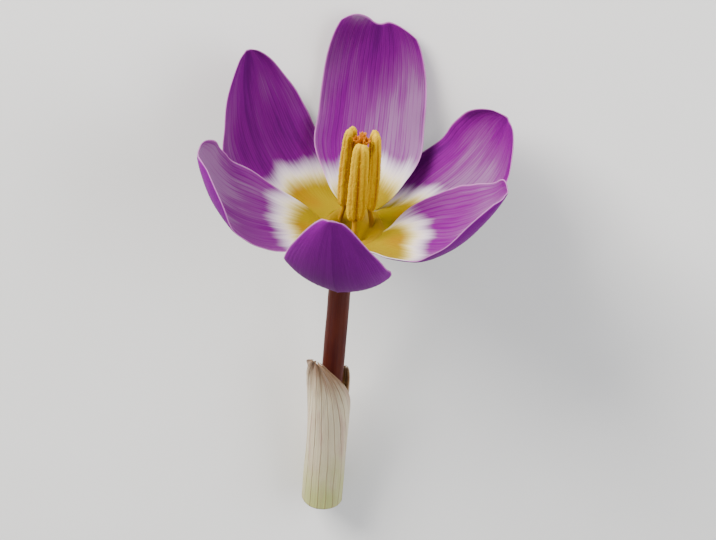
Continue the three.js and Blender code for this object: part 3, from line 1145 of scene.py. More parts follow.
# ---------------------------------------------------------------- tepals


class Whorl(Enum):
    """The two rings of three tepals: the inner one stands inwards and the outer one outwards."""

    OUTER = -1
    INNER = 1


@dataclass(frozen=True)
class Patch:
    """A soft patch on a tepal: where its middle lies, how far it reaches, and how strong it is."""

    share: float
    across: float
    length: float
    width: float
    strength: float

    def at(self, t: Array, v: Array) -> Array:
        """The patch's strength over the tepal.

        Args:
            t: share of the blade's length.
            v: from -1 to 1 across it.

        Returns:
            The strength at each point.
        """
        far = ((t - self.share) / self.length) ** 2 + ((v - self.across) / self.width) ** 2
        return self.strength * np.exp(-far)


@dataclass(frozen=True)
class Tepal:
    """One tepal, as a curved blade round its midrib.

    foot is the azimuth where it leaves the throat and azimuth the way its blade points. midrib bends
    from the throat through the given points, as [distance from the axis, height over the throat]. arc
    is the half angle of its cross-section, widest the place of its greatest width, and fill, belly,
    shoulder, blunt and tip shape its outline. lobe lengthens the tip on one side, and pale are patches
    that make its colour paler, or darker at negative strength: partly its own tone, partly painted sheen,
    highlight and shade. curls bend it inwards, and white moves the edge of its white band, in millimetres,
    at one margin, the midrib and the other margin.
    """

    name: str
    whorl: Whorl
    foot: float
    azimuth: float
    midrib: tuple[tuple[float, float], ...]
    half_width: float
    arc: float
    widest: float
    fill: float
    shoulder: float
    blunt: float
    belly: float = 0.0
    tip: float = 0.06
    twist: float = 0.0
    bow: float = 0.0
    skew: float = 0.0
    wave: float = 0.0
    notch: float = 0.0
    lobe: float = 0.0
    round_off: float = 0.012
    white: tuple[float, float, float] = (0.0, 0.0, 0.0)
    # pale: painted sheen and highlight where positive, painted shade where negative, partly the tepal's own
    # tone.
    pale: tuple[Patch, ...] = ()
    curls: tuple[Patch, ...] = ()
    rows: int = 150
    columns: int = 108

    THROAT_RADIUS = 4.75
    CLAW_HALF_WIDTH = 2.26
    CLAW_OVERLAP = 0.5
    CLAW_ARC = 0.485
    TIP_ARC = 0.55
    MARGIN_WAVE = 0.3
    NEST = 0.5
    NEST_ENDS = 0.13
    CUP_MIDDLE = 25.0
    CAD_THICKNESS = 0.6
    BODY_THICKNESS = 0.24
    RIB_THICKNESS = 0.20
    RIM_THICKNESS = 0.035
    THIN_MARGIN = 0.55
    SMOOTH_MARGIN = 0.6
    VEIN_DEPTH = 0.035
    VEIN_WIDTH = 0.55
    RIB_DEPTH = 0.13
    RIB_LINE = 0.42
    RIB_SPREAD = 1.1
    NOTCH_WIDTH = 0.22
    TIP_CROWDING = 1.35
    BAND_BOW = 2.2
    SWELL = 0.12
    RUFFLE = 0.16
    EASE = 0.7

    def width(self, t: Array) -> Array:
        """Half the blade's width along its length.

        Args:
            t: share of the length.

        Returns:
            Half widths in millimetres.
        """
        rising = np.minimum(t / self.widest, 1.0)
        growth = np.sin(rising * math.pi / 2) ** self.fill
        fuller = self.belly * np.sin(rising * math.pi) ** 2
        before = self.CLAW_HALF_WIDTH + (self.half_width - self.CLAW_HALF_WIDTH) * growth + fuller
        beyond = np.clip((t - self.widest) / (1 - self.widest), 0.0, 1.0)
        outline = np.maximum(0.0, 1 - beyond**self.shoulder) ** self.blunt
        after = self.half_width * (self.tip + (1 - self.tip) * outline)
        overlap = self.CLAW_OVERLAP * (0.4 + 0.6 * smooth(0, 0.05, t)) * (1 - smooth(0.11, 0.24, t))
        return np.where(t < self.widest, before, after) + overlap

    def free_middle(self, t: Array, v: Array) -> Array:
        """The blade's middle surface, before the floor presses it.

        Args:
            t: share of the length.
            v: from -1 to 1 across.

        Returns:
            The places in the flower's frame.
        """
        place, slope = bezier(((self.THROAT_RADIUS, 0.0), *self.midrib), t)
        out = outward(self.foot + (self.azimuth - self.foot) * smooth(0, 0.45, t))
        side = np.stack([-out[..., 1], out[..., 0], np.zeros_like(t)], axis=-1)
        facing = -slope[..., 1:] * out + slope[..., :1] * UP
        hold = (1 - smooth(0, 0.35, t))[..., None]
        facing = unit(facing * (1 - hold) - out * hold)

        width = self.width(t) * (1 + self.skew * np.sin(math.pi * t) * np.sign(v))
        arc = self.CLAW_ARC + (self.arc - self.CLAW_ARC) * smooth(0, 0.3, t)
        arc = arc + (self.TIP_ARC - self.arc) * smooth(0.5, 1, t)
        beyond = smooth(0.25, 0.6, t)
        waves = self.MARGIN_WAVE * np.sin(13 * t + self.wave + 2 * v)
        waves = waves + self.RUFFLE * smooth(0.5, 0.8, t) * np.sin(31 * t + 3 * self.wave + 3 * v)
        across = width / arc * np.sin(arc * v)
        rise = width / arc * (1 - np.cos(arc * v)) + np.abs(v) ** 3 * beyond * waves
        rise = rise + self.SWELL * beyond * ripple(1.6 * t, 1.1 * v, self.wave)
        rise = rise + sum((curl.at(t, v) for curl in self.curls), np.zeros_like(t))
        nest = self.NEST * self.whorl.value * smooth(0, self.NEST_ENDS, t)
        reach = place + slope * (self.lobe * smooth(0.6, 1, t) * smooth(0.15, 0.9, v))[..., None]
        turn = math.radians(self.twist) * t
        sideways = across * np.cos(turn) - rise * np.sin(turn) + self.bow * np.sin(math.pi * t)
        inwards = across * np.sin(turn) + rise * np.cos(turn) + nest
        along = reach[..., :1] * out + reach[..., 1:] * UP
        return along + sideways[..., None] * side + inwards[..., None] * facing

    def middle(self, t: Array, v: Array) -> Array:
        """The blade's middle surface as it lies, with the CAD blade's clearance over the floor."""
        return POSE.pressed(self.free_middle(t, v), self.CAD_THICKNESS / 2, self.EASE)

    def grid(self) -> tuple[Array, Array]:
        """Places over the blade, closer together towards its tip and margins.

        Returns:
            Shares of the length and places across, as two grids.
        """
        s = np.linspace(0, 1, self.rows + 1)[:, None]
        x = np.linspace(-1, 1, self.columns + 1)[None, :]
        v = np.sin(x * math.pi / 2) * 0.55 + x * 0.45 + 0.0 * s
        t = 1 - (1 - s) ** self.TIP_CROWDING + 0.0 * x
        notch = self.notch * np.exp(-((v / self.NOTCH_WIDTH) ** 2)) * smooth(0.8, 1, t)
        return t * (1 - self.round_off * v**4 - notch), v

    def thickness(self, t: Array, off_rib: Array, edge: Array) -> Array:
        """The blade's thickness: more along its midrib and less towards its margin.

        Args:
            t: share of the length.
            off_rib: distance from the midrib.
            edge: distance from the margin.

        Returns:
            Thicknesses in millimetres.
        """
        rib = self.RIB_THICKNESS * np.exp(-((off_rib / self.RIB_SPREAD) ** 2)) * (1 - 0.75 * t)
        thinning = np.sqrt(np.clip(edge / self.THIN_MARGIN, 0, 1))
        return self.RIM_THICKNESS + (self.BODY_THICKNESS + rib - self.RIM_THICKNESS) * thinning

    def relief(self, t: Array, v: Array, edge: Array) -> Array:
        """How far the veins and the midrib stand out.

        Args:
            t: share of the length.
            v: from -1 to 1 across.
            edge: distance from the margin.

        Returns:
            Heights in millimetres, none at the claw and the margin.
        """
        grown = smooth(0.04, 0.3, t) * np.clip(edge / self.SMOOTH_MARGIN, 0, 1)
        veins = np.clip(1 - np.abs(np.sin(math.pi * TEPAL_VEINS * v)) / self.VEIN_WIDTH, 0, 1)
        rib = np.exp(-((self.width(t) * v / self.RIB_LINE) ** 2)) * (1 - 0.6 * t)
        return grown * (self.VEIN_DEPTH * veins + self.RIB_DEPTH * rib)

    def skin(self) -> Skin:
        """The blade with its veins, midrib and thin margin.

        Returns:
            The closed skin with the numbers that its material reads.
        """
        t, v = self.grid()
        here, normal = self.middle(t, v), normals(self.middle, t, v)
        length = np.linalg.norm(np.diff(self.free_middle(t[:, :1], 0 * t[:, :1]), axis=0), axis=-1)
        along = np.concatenate([[0.0], np.cumsum(length[:, 0])])[:, None] + 0.0 * v
        edge = np.minimum(self.width(t) * (1 - np.abs(v)), along[-1:, :] - along)
        half = self.thickness(t, self.width(t) * v, edge)[..., None] / 2
        bulge = self.relief(t, v, edge)[..., None]

        # The CAD blade's outside face stays where it is wherever the floor carries it.
        lift = self.CAD_THICKNESS / 2
        low = smooth(0.6, 0.0, here @ POSE.sky() + POSE.throat[2] - lift)[..., None]
        here = here - POSE.sky() * low * (lift - half)
        sign = np.sign(np.sum(normal * (here - self.CUP_MIDDLE * UP), axis=-1))[..., None]
        out = normal * np.where(sign == 0, 1.0, sign)
        top = here - out * half + out * bulge
        bottom = here + out * half + out * bulge
        first, centre, second = self.white
        shift = centre + (first - centre) * smooth(0, 1, -v) + (second - centre) * smooth(0, 1, v)
        # pale sums the patches: painted sheen and highlight where positive, painted shade where negative,
        # partly the tepal's own tone.
        pale = sum((patch.at(t, v) for patch in self.pale), np.zeros_like(t))
        return sheet_skin(top, bottom, {
            "along": along, "across": v, "share": t, "edge": edge, "pale": pale,
            "zone": along - shift + self.BAND_BOW * v**2, "kind": np.full_like(t, self.foot / 10),
        })

    def build(self, finish: bpy.types.Material) -> None:
        """Makes the tepal and lets it stand for its CAD node.

        Args:
            finish: its material.
        """
        piece = self.skin().piece(f"{self.name}_blade", [finish])
        hand_over(piece, self.name)


@dataclass
class Bloom:
    """The six tepals in two whorls."""

    outer: TepalFinish = TepalFinish("outer tepal")
    inner: TepalFinish = TepalFinish("inner tepal")

    def tepals(self) -> list[Tepal]:
        """The six tepals, each with its own bend and colouring; their pale patches are partly painted
        sheen, highlight and shade.

        Returns:
            The tepals, the outer whorl first.
        """
        outer = partial(
            Tepal, whorl=Whorl.OUTER, arc=0.3, widest=0.62, fill=1.35, shoulder=2.8, blunt=0.55,
        )
        inner = partial(
            Tepal, whorl=Whorl.INNER, arc=0.4, widest=0.62, fill=1.2, shoulder=2.8, blunt=0.58,
        )
        return [
            outer(
                "tepal_outer_1", foot=24, azimuth=26, midrib=((13.5, 0), (23, 3.6), (25.6, 16.7)),
                half_width=9.5, belly=1.6, twist=6, wave=0.4, white=(1.5, 1.0, -4.0),
                pale=(
                    Patch(0.55, -0.3, 0.28, 0.55, 0.95), Patch(0.85, 0.2, 0.15, 0.6, 0.2),
                    Patch(0.5, 0.9, 0.4, 0.3, -0.6),
                ),
            ),
            outer(
                "tepal_outer_2", foot=144, azimuth=142, midrib=((13.5, 0), (23.5, 5.6), (25, 22.6)),
                half_width=10, belly=1.6, twist=-4, bow=1.2, widest=0.58, shoulder=2, blunt=0.68,
                wave=2.1, white=(0, 1.0, 0),
                pale=(Patch(0.72, 0.95, 0.35, 0.28, 0.5), Patch(0.5, 0, 0.35, 0.8, -0.45)),
            ),
            outer(
                "tepal_outer_3", foot=264, azimuth=262, midrib=((14.5, -1.2), (23.9, 0.2), (24.4, 22.4)),
                half_width=9.8, belly=0.4, arc=0.88, twist=4, bow=0.9, skew=-0.04, widest=0.56,
                shoulder=2.2, blunt=0.7, wave=3.7,
                pale=(Patch(0.7, 0.8, 0.4, 0.4, 0.45), Patch(0.85, -0.3, 0.2, 0.6, 0.3)),
            ),
            inner(
                "tepal_inner_1", foot=84, azimuth=87, midrib=((13, 2.2), (23, 8), (24.5, 24.8)),
                half_width=9.2, belly=1.6, skew=-0.04, widest=0.58, shoulder=3, blunt=0.5, tip=0.42,
                wave=1.2, notch=0.014, lobe=2.6, round_off=0.045, white=(-1.0, -1.7, -3.0),
                pale=(
                    Patch(0.50, -0.6, 0.33, 0.5, 1.0), Patch(0.6, 0.75, 0.3, 0.3, 0.2),
                    # A painted highlight on the curled, lengthened lobe of the tip.
                    Patch(1.0, 0.7, 0.035, 0.35, 1.6),
                ),
                curls=(Patch(0.97, 0.75, 0.09, 0.4, 1.0),),
            ),
            inner(
                "tepal_inner_2", foot=204, azimuth=201, midrib=((13.5, 2.6), (25.2, 2.6), (28, 20.8)),
                half_width=10.4, belly=0.6, arc=0.52, twist=-10, skew=-0.05, shoulder=3, blunt=0.55,
                wave=5, white=(-1.3, -0.8, 0.3),
                pale=(Patch(0.97, -0.1, 0.22, 0.9, 1.7), Patch(0.62, -0.3, 0.25, 0.5, 0.45)),
            ),
            inner(
                "tepal_inner_3", foot=324, azimuth=333.5, midrib=((11.9, 3.7), (20.2, 0.7), (26.9, 19.8)),
                half_width=11.1, belly=0.7, arc=0.82, twist=7, bow=-0.8, skew=-0.015, widest=0.52,
                fill=1.15, wave=4.4, white=(6.0, -1.0, -5.0),
                pale=(Patch(0.85, 0.1, 0.22, 0.8, 1.0), Patch(0.6, -0.8, 0.35, 0.4, 0.7)),
            ),
        ]

    def build(self) -> None:
        """Makes the tepals."""
        finishes = {Whorl.OUTER: self.outer.material(), Whorl.INNER: self.inner.material()}
        for tepal in self.tepals():
            tepal.build(finishes[tepal.whorl])


# ---------------------------------------------------------------- tube


@dataclass
class PerianthTube:
    """The funnel-shaped throat and the long slender tube below it, with a lip under the tepals' feet."""

    length: float = 60.0
    radius: float = 1.5
    wall: float = 0.8
    rim_radius: float = 4.45
    rim_wall: float = 0.6
    lip_radius: float = 5.15
    lip_wall: float = 0.26
    funnel_depth: float = 8.0
    lean: float = 1.6
    lean_ends: float = 16.0
    tail_lift: float = 4.0
    ribs: int = 6
    rib_height: float = 0.07
    sides: int = 96
    lip_rows: int = 8
    funnel_rows: int = 60
    tube_rows: int = 260

    RIM_DEPTH = 0.03

    def centre(self, below: Array) -> Array:
        """The tube's middle.

        Args:
            below: distance below the throat.

        Returns:
            The places in the flower's frame.
        """
        below = np.asarray(below, float)
        depth = np.maximum(below, 0)
        lift = self.tail_lift * (depth / self.length) ** 2
        return np.stack([-self.lean * smooth(0, self.lean_ends, depth), -lift, -below], axis=-1)

    def axes(self, below: Array) -> tuple[Array, Array]:
        """Two directions square to the tube.

        Args:
            below: distance below the throat.

        Returns:
            The directions right and back.
        """
        below = np.asarray(below)
        tangent = unit(self.centre(below - 0.1) - self.centre(below + 0.1))
        right = unit(np.array([1.0, 0, 0]) - tangent[..., :1] * tangent)
        return right, np.cross(tangent, right)

    def around(self, below: Array, angle: Array, radius: Array) -> Array:
        """Points round the tube.

        Args:
            below: distance below the throat.
            angle: radians round it.
            radius: distance from its middle.

        Returns:
            The places in the flower's frame.
        """
        right, back = self.axes(below)
        spoke = right * np.cos(angle)[..., None] + back * np.sin(angle)[..., None]
        return self.centre(below) + spoke * np.asarray(radius)[..., None]

    def profile(self) -> tuple[Array, Array, Array, Array]:
        """The wall from the lip to the cut end.

        Returns:
            Its middle radius, depth, normals and thickness, place by place.
        """
        u = np.linspace(0, 1, self.funnel_rows + 1)
        rim, tube = (self.rim_radius, self.RIM_DEPTH), (self.radius, self.funnel_depth)
        place, slope = bezier((rim, (2.9, 0.35), (self.radius, 3.6), tube), u)
        normal = np.stack([slope[:, 1], -slope[:, 0]], axis=-1)
        wall = self.rim_wall + (self.wall - self.rim_wall) * u
        out = np.linspace(1, 0, self.lip_rows, endpoint=False)
        lip_reach = self.rim_radius + (self.lip_radius - self.rim_radius) * out
        lip = np.stack([lip_reach, self.RIM_DEPTH - self.RIM_DEPTH * out], axis=-1)
        lip_wall = self.rim_wall + (self.lip_wall - self.rim_wall) * smooth(0, 1, out)
        down = np.linspace(self.funnel_depth, self.length, self.tube_rows + 1)[1:]
        tail = np.stack([np.full_like(down, self.radius), down], axis=-1)
        lip_normal = np.tile(normal[:1], (len(out), 1))
        tail_normal = np.tile([[1.0, 0.0]], (len(down), 1))
        places = np.concatenate([lip, place, tail])
        walls = np.concatenate([lip_wall, wall, np.full_like(down, self.wall)])
        return places[:, 0], places[:, 1], np.concatenate([lip_normal, normal, tail_normal]), walls

    def skin(self) -> Skin:
        """Both walls of the tube, its ribs and its cut end.

        Returns:
            The closed skin with the numbers that its material reads.
        """
        radius, depth, normal, wall = self.profile()
        angle = ring_angles(self.sides)[None, :]
        grown = smooth(1.0, 7.0, depth)[:, None]
        ribbed = self.rib_height * (np.abs(np.sin(angle * self.ribs / 2)) - 0.64) * grown
        uneven = 0.06 * grown * ripple(depth[:, None] * 0.11, angle / math.pi, 2.0)
        rings = []
        for side in (1, -1):
            at_depth = (depth + side * normal[:, 1] * wall / 2)[:, None] + 0 * angle
            at_radius = (radius + side * normal[:, 0] * wall / 2)[:, None] + 0 * angle
            if side > 0:
                at_radius = at_radius + ribbed + uneven
            rings.append(self.around(at_depth, angle + 0 * at_depth, at_radius))
        fields = {"depth": depth[:, None] + 0 * angle, "around": angle / (2 * math.pi) + 0 * depth[:, None]}
        return pipe_skin(rings[0], rings[1], fields)

    def build(self) -> None:
        """Makes the tube and lets it stand for its CAD node."""
        piece = self.skin().piece("perianth_tube_skin", [TubeFinish().material()])
        hand_over(piece, "perianth_tube")


# ---------------------------------------------------------------- sheaths


@dataclass
class Sheath:
    """A papery sheath round the foot of the tube, open along one side and pointed at its tip."""

    name: str
    azimuth: float
    radius: float
    tip_at: float
    wrap: float
    flare: float
    tube: PerianthTube
    wall: float = 0.18
    edge_wall: float = 0.03
    cad_wall: float = 0.6
    rows: int = 150
    columns: int = 120

    def half_angle(self, s: Array) -> Array:
        """How far the sheath wraps to either side, in radians, narrowing to its tip."""
        return self.wrap * (0.05 + 0.95 * np.maximum(0, 1 - s**2.2) ** 0.8)

    def depth(self, s: Array) -> Array:
        """How far below the throat a share of the sheath's length lies."""
        return self.tube.length + (self.tip_at - self.tube.length) * s

    def middle(self, s: Array, v: Array) -> Array:
        """The sheath's middle surface.

        Args:
            s: 0 at the cut end and 1 at the tip.
            v: from -1 to 1 round the tube.

        Returns:
            The places, with the outer face where the CAD's is.
        """
        angle = math.radians(self.azimuth) + self.half_angle(s) * v
        pleats = np.sin(11 * v + 2.2 * s + 0.8 * np.sin(5 * s)) * (0.05 + 0.13 * smooth(0.3, 1.0, s))
        crumples = 0.10 * ripple(3 * s, 2 * v, 1.7)
        crumples = crumples + 0.05 * smooth(0.2, 0.8, s) * ripple(11 * s, 5 * v, 0.9)
        radius = self.radius + self.flare * s**4 + (self.cad_wall - self.wall) / 2 + pleats + crumples - 0.2
        return POSE.pressed(self.tube.around(self.depth(s), angle, radius), self.wall / 2)

    def skin(self) -> Skin:
        """The sheath with its veins and torn edge.

        Returns:
            The closed skin with the numbers that its material reads.
        """
        s = np.linspace(0, 1, self.rows + 1)[:, None]
        v = np.linspace(-1, 1, self.columns + 1)[None, :] + 0 * s
        ragged = 0.012 * ripple(9 * v, 0 * v, 0.6) + 0.006 * ripple(31 * v, 0 * v, 2.2)
        s = s * (1 + np.minimum(0, ragged - 0.008)) + 0 * v
        here, normal = self.middle(s, v), normals(self.middle, s, v)
        away = here - self.tube.centre(self.depth(s))
        out = normal * np.sign(np.sum(normal * away, axis=-1))[..., None]
        edge = self.half_angle(s) * self.radius * (1 - np.abs(v))
        thickness = self.edge_wall + (self.wall - self.edge_wall) * np.sqrt(np.clip(edge / 0.5, 0, 1))
        lines = np.clip(1 - np.abs(np.sin(math.pi * SHEATH_VEINS * v)) / 0.3, 0, 1)
        bulge = 0.05 * lines * np.clip(edge / 0.6, 0, 1)
        top = here - out * thickness[..., None] / 2
        bottom = here + out * (thickness / 2 + bulge)[..., None]
        return sheet_skin(top, bottom, {"share": s, "across": v, "edge": edge})

    def build(self, finish: bpy.types.Material) -> None:
        """Makes the sheath and lets it stand for its CAD node.

        Args:
            finish: its material.
        """
        piece = self.skin().piece(f"{self.name}_paper", [finish])
        hand_over(piece, self.name)


# ---------------------------------------------------------------- stamens


@dataclass
class Stamen:
    """A filament that carries a long two-lobed anther dusted with pollen."""

    name: str
    azimuth: float
    seed: int
    filament_path: tuple[tuple[float, float], ...] = ((3.28, -0.95), (2.85, 1.3), (2.3, 3.7))
    filament_radius: float = 0.40
    filament_rows: int = 40
    filament_sides: int = 24
    anther_foot: tuple[float, float] = (2.3, 3.4)
    anther_top: tuple[float, float] = (2.4, 19.6)
    width: float = 3.3
    depth: float = 2.2
    groove: float = 0.36
    slit: float = 0.09
    furrow: float = 0.07
    turn: float = 9.0
    rows: int = 110
    sides: int = 72

    GROOVE_WIDTH = 0.30
    SLIT_WIDTH = 0.20
    FURROW_AT = 0.66
    FURROW_WIDTH = 0.11
    BEND = 0.22

    def in_profile(self, place: Array) -> Array:
        """Points given as distance from the axis and height, on the stamen's azimuth."""
        return place[..., :1] * outward(self.azimuth) + place[..., 1:] * UP

    def filament(self) -> Skin:
        """The filament, from the throat's wall to the anther.

        Returns:
            The closed skin.
        """
        u = np.linspace(0, 1, self.filament_rows)
        place, slope = bezier(self.filament_path, u)
        centre, tangent = self.in_profile(place), self.in_profile(slope)
        side = np.cross(UP, outward(self.azimuth))
        deep = np.cross(side, tangent)
        angle = ring_angles(self.filament_sides)
        uneven = 1 + 0.04 * np.sin(5 * angle + 9 * u[:, None])
        radius = self.filament_radius * (1.18 - 0.45 * u)[:, None] * uneven
        ring = np.cos(angle)[None, :, None] * side + np.sin(angle)[None, :, None] * deep[:, None, :]
        return loft_skin(centre[:, None, :] + ring * radius[..., None])

    def anther(self) -> Skin:
        """The anther: two furrowed lobes, a groove down each broad face and a slit down each side.

        Returns:
            The closed skin with its groove field, painted shade over the grooves, slits and furrows, and
            how much pollen clings to it.
        """
        u = np.linspace(0.0, 1, self.rows)[:, None]
        angle = ring_angles(self.sides)[None, :]
        foot, top = self.in_profile(np.array(self.anther_foot)), self.in_profile(np.array(self.anther_top))
        axis = unit(top - foot)
        side = np.cross(UP, outward(self.azimuth))
        deep = np.cross(side, axis)
        ends = np.clip(1 - np.abs(2 * u - 1) ** 9, 0, 1) ** 0.42
        full = (0.5 - 0.06 * smooth(0.3, 1, u)) * (0.06 + 0.94 * ends)
        groove = np.exp(-((np.cos(angle) / self.GROOVE_WIDTH) ** 2))
        slit = np.exp(-((np.sin(angle) / self.SLIT_WIDTH) ** 2))
        winding = 0.03 * ripple(7 * u, 0 * u, self.seed)
        beside = np.abs(np.cos(angle)) - self.FURROW_AT + winding
        furrow = np.exp(-((beside / self.FURROW_WIDTH) ** 2))
        lumps = 0.035 * ripple(9 * u, angle * 2.2, self.seed)
        lumps = lumps + 0.018 * ripple(31 * u, angle * 3.0, self.seed + 5)
        pinched = (1 - self.groove * groove) * (1 - self.slit * slit) * (1 - self.furrow * furrow)
        scale = pinched * (1 + lumps)
        turned = math.radians(self.turn) * (u - 0.5) * 2
        across = self.width * full * scale * np.cos(angle)
        through = self.depth * full * scale * np.sin(angle)
        x = across * np.cos(turned) - through * np.sin(turned)
        y = across * np.sin(turned) + through * np.cos(turned)
        lobes = 0.55 * np.abs(np.cos(angle)) ** 1.5
        reach = u + (lobes - 0.3) * (smooth(0.12, 0.0, u) * -0.06 + smooth(0.9, 1.0, u) * 0.022)
        length = np.linalg.norm(top - foot)
        bend = self.BEND * np.sin(math.pi * u)
        centre = foot + axis * (reach * length)[..., None] + outward(self.azimuth) * bend[..., None]
        rings = centre + side * x[..., None] + deep * y[..., None]
        # Painted shade: the grooves, slits and furrows are marked darker for the material.
        dark = np.maximum(np.maximum(groove, slit * 0.9), furrow * 0.55)
        dark = dark * np.sin(math.pi * np.clip(u, 0.02, 0.98)) ** 0.3
        dusty = np.clip(1.1 - 0.8 * groove - 0.5 * furrow, 0, 1) + 0 * u
        return loft_skin(rings, {"groove": dark + 0 * angle, "dusty": dusty})

    def build(self, finishes: dict[str, bpy.types.Material]) -> None:
        """Makes the stamen and lets it stand for its CAD node.

        Args:
            finishes: the materials anther, filament and pollen.
        """
        skin = self.anther().joined(self.filament(), 1)
        names = ("anther", "filament", "pollen")
        piece = skin.piece(f"{self.name}_golden", [finishes[name] for name in names])
        GRAINS.run(piece, {
            "Density": 13.0 / MM**2, "Radius": 0.075 * MM, "Smallest": 0.55, "Largest": 1.25,
            "Seed": self.seed, "Finish": finishes["pollen"],
        })
        hand_over(piece, self.name)


@dataclass
class Stamens:
    """The three stamens, opposite the outer tepals."""

    azimuths: tuple[float, ...] = (26, 141, 271)
    turns: tuple[float, ...] = (8, -7, 10)

    def build(self) -> None:
        """Makes the stamens."""
        filament = SpeckledFinish("filament", (0.32, 0.18, 0.0), (0.27, 0.115, 0.0), 0.6, 5000)
        pollen = SpeckledFinish("pollen", (0.57, 0.37, 0.0), (0.50, 0.27, 0.0), 0.85, 9000)
        finishes = {
            "anther": AntherFinish().material(),
            "filament": filament.material(),
            "pollen": pollen.material(),
        }
        for i, (azimuth, turn) in enumerate(zip(self.azimuths, self.turns, strict=True)):
            Stamen(f"stamen_{i + 1}", azimuth, i + 3, turn=turn).build(finishes)


# ---------------------------------------------------------------- style


@dataclass
class Style:
    """The thread through the tube and its three stigma branches with frilled trumpet ends."""

    tube: PerianthTube
    radius: float = 0.45
    azimuths: tuple[float, ...] = (83.5, 206, 328.5)
    fork: float = 15.6
    tip: tuple[float, float] = (1.0, 19.2)
    root_radius: float = 0.34
    tip_radius: float = 0.56
    frill: float = 0.12
    lobes: int = 6
    rows: int = 70
    sides: int = 84
    thread_rows: int = 140
    thread_sides: int = 20

    MOUTH = ((0.88, 0.02), (0.74, -0.25), (0.55, -0.75), (0.30, -1.2), (0.08, -1.4))

    def thread(self, finish: bpy.types.Material) -> bpy.types.Object:
        """The thread from the cut end to the fork.

        Args:
            finish: its material.

        Returns:
            The thread as its own object.
        """
        below = np.linspace(self.tube.length, -self.fork - 1, self.thread_rows)
        path = self.tube.centre(below)
        radius = self.radius * (1 - 0.12 * smooth(20, -12, below)) * (1 + 0.03 * np.sin(below * 2.1))
        return strands("style_thread", [(path, radius)], self.thread_sides, finish)

    def branch(self, azimuth: float) -> Skin:
        """One stigma branch, whose hollow end is ruffled round its mouth.

        Args:
            azimuth: the way it leans.

        Returns:
            The closed skin with how many papillae it has.
        """
        u = np.linspace(0, 1, self.rows)
        out = outward(azimuth)
        side = np.cross(UP, out)
        path = ((0.0, self.fork), (self.tip[0] * 0.35, (self.fork + self.tip[1]) / 2), self.tip)
        place, slope = bezier(path, u)
        angle = ring_angles(self.sides)[None, :]
        wide = (self.root_radius + (self.tip_radius - self.root_radius) * u**3)[:, None]
        folds = np.sin(self.lobes * angle) + 0.25 * np.sin(13 * angle + azimuth)
        outer = wide * (1 + self.frill * (u**2)[:, None] * folds)
        lip = (u**5)[:, None] * 0.12 * np.sin(self.lobes * angle + 0.8)
        height = lip + 0 * angle

        def ring(index: int, radius: Array, rise: Array) -> Array:
            """Points round the branch.

            Args:
                index: which of its places.
                radius: distance from its middle, for each angle.
                rise: how far each point stands towards the tip.

            Returns:
                The places in the flower's frame.
            """
            centre = place[index, 0] * out + place[index, 1] * UP
            tangent = slope[index, 0] * out + slope[index, 1] * UP
            deep = np.cross(side, tangent)
            spoke = np.cos(angle[0])[:, None] * side + np.sin(angle[0])[:, None] * deep
            return centre + spoke * radius[:, None] + tangent * rise[:, None]

        rings = [ring(i, outer[i], height[i]) for i in range(self.rows)]
        last = self.rows - 1
        rings += [
            ring(last, outer[last] * inset, height[last] * inset + depth) for inset, depth in self.MOUTH
        ]
        shares = np.concatenate([u, np.full(len(self.MOUTH), 0.9)])[:, None] + 0 * angle
        return loft_skin(np.stack(rings), {"dusty": smooth(0.45, 0.95, shares), "share": shares})

    def build(self) -> None:
        """Makes the style and lets it stand for its CAD node."""
        thread, finish, tips = (look.material() for look in (
            SpeckledFinish("style thread", (0.50, 0.30, 0.03), (0.42, 0.17, 0.005), 0.45, 4000),
            SpeckledFinish("stigma", (0.46, 0.15, 0.0), (0.38, 0.09, 0.0), 0.6, 6000),
            SpeckledFinish("stigma papillae", (0.52, 0.19, 0.0), (0.42, 0.11, 0.0), 0.6, 9000),
        ))
        first, second, third = (self.branch(azimuth) for azimuth in self.azimuths)
        branches = first.joined(second).joined(third).piece("stigma_branches", [finish, tips])
        GRAINS.run(branches, {
            "Density": 60.0 / MM**2, "Radius": 0.04 * MM, "Smallest": 0.6, "Largest": 1.3,
            "Seed": 11, "Finish": tips,
        })
        piece = merged("style_and_stigma", [branches, self.thread(thread)])
        hand_over(piece, "style")


# ---------------------------------------------------------------- studio


@dataclass(frozen=True)
class SoftLight:
    """A soft square light. place is how far it stands to the picture's right, its up and the camera."""

    name: str
    place: tuple[float, float, float]
    size: float
    power: float
    colour: Colour


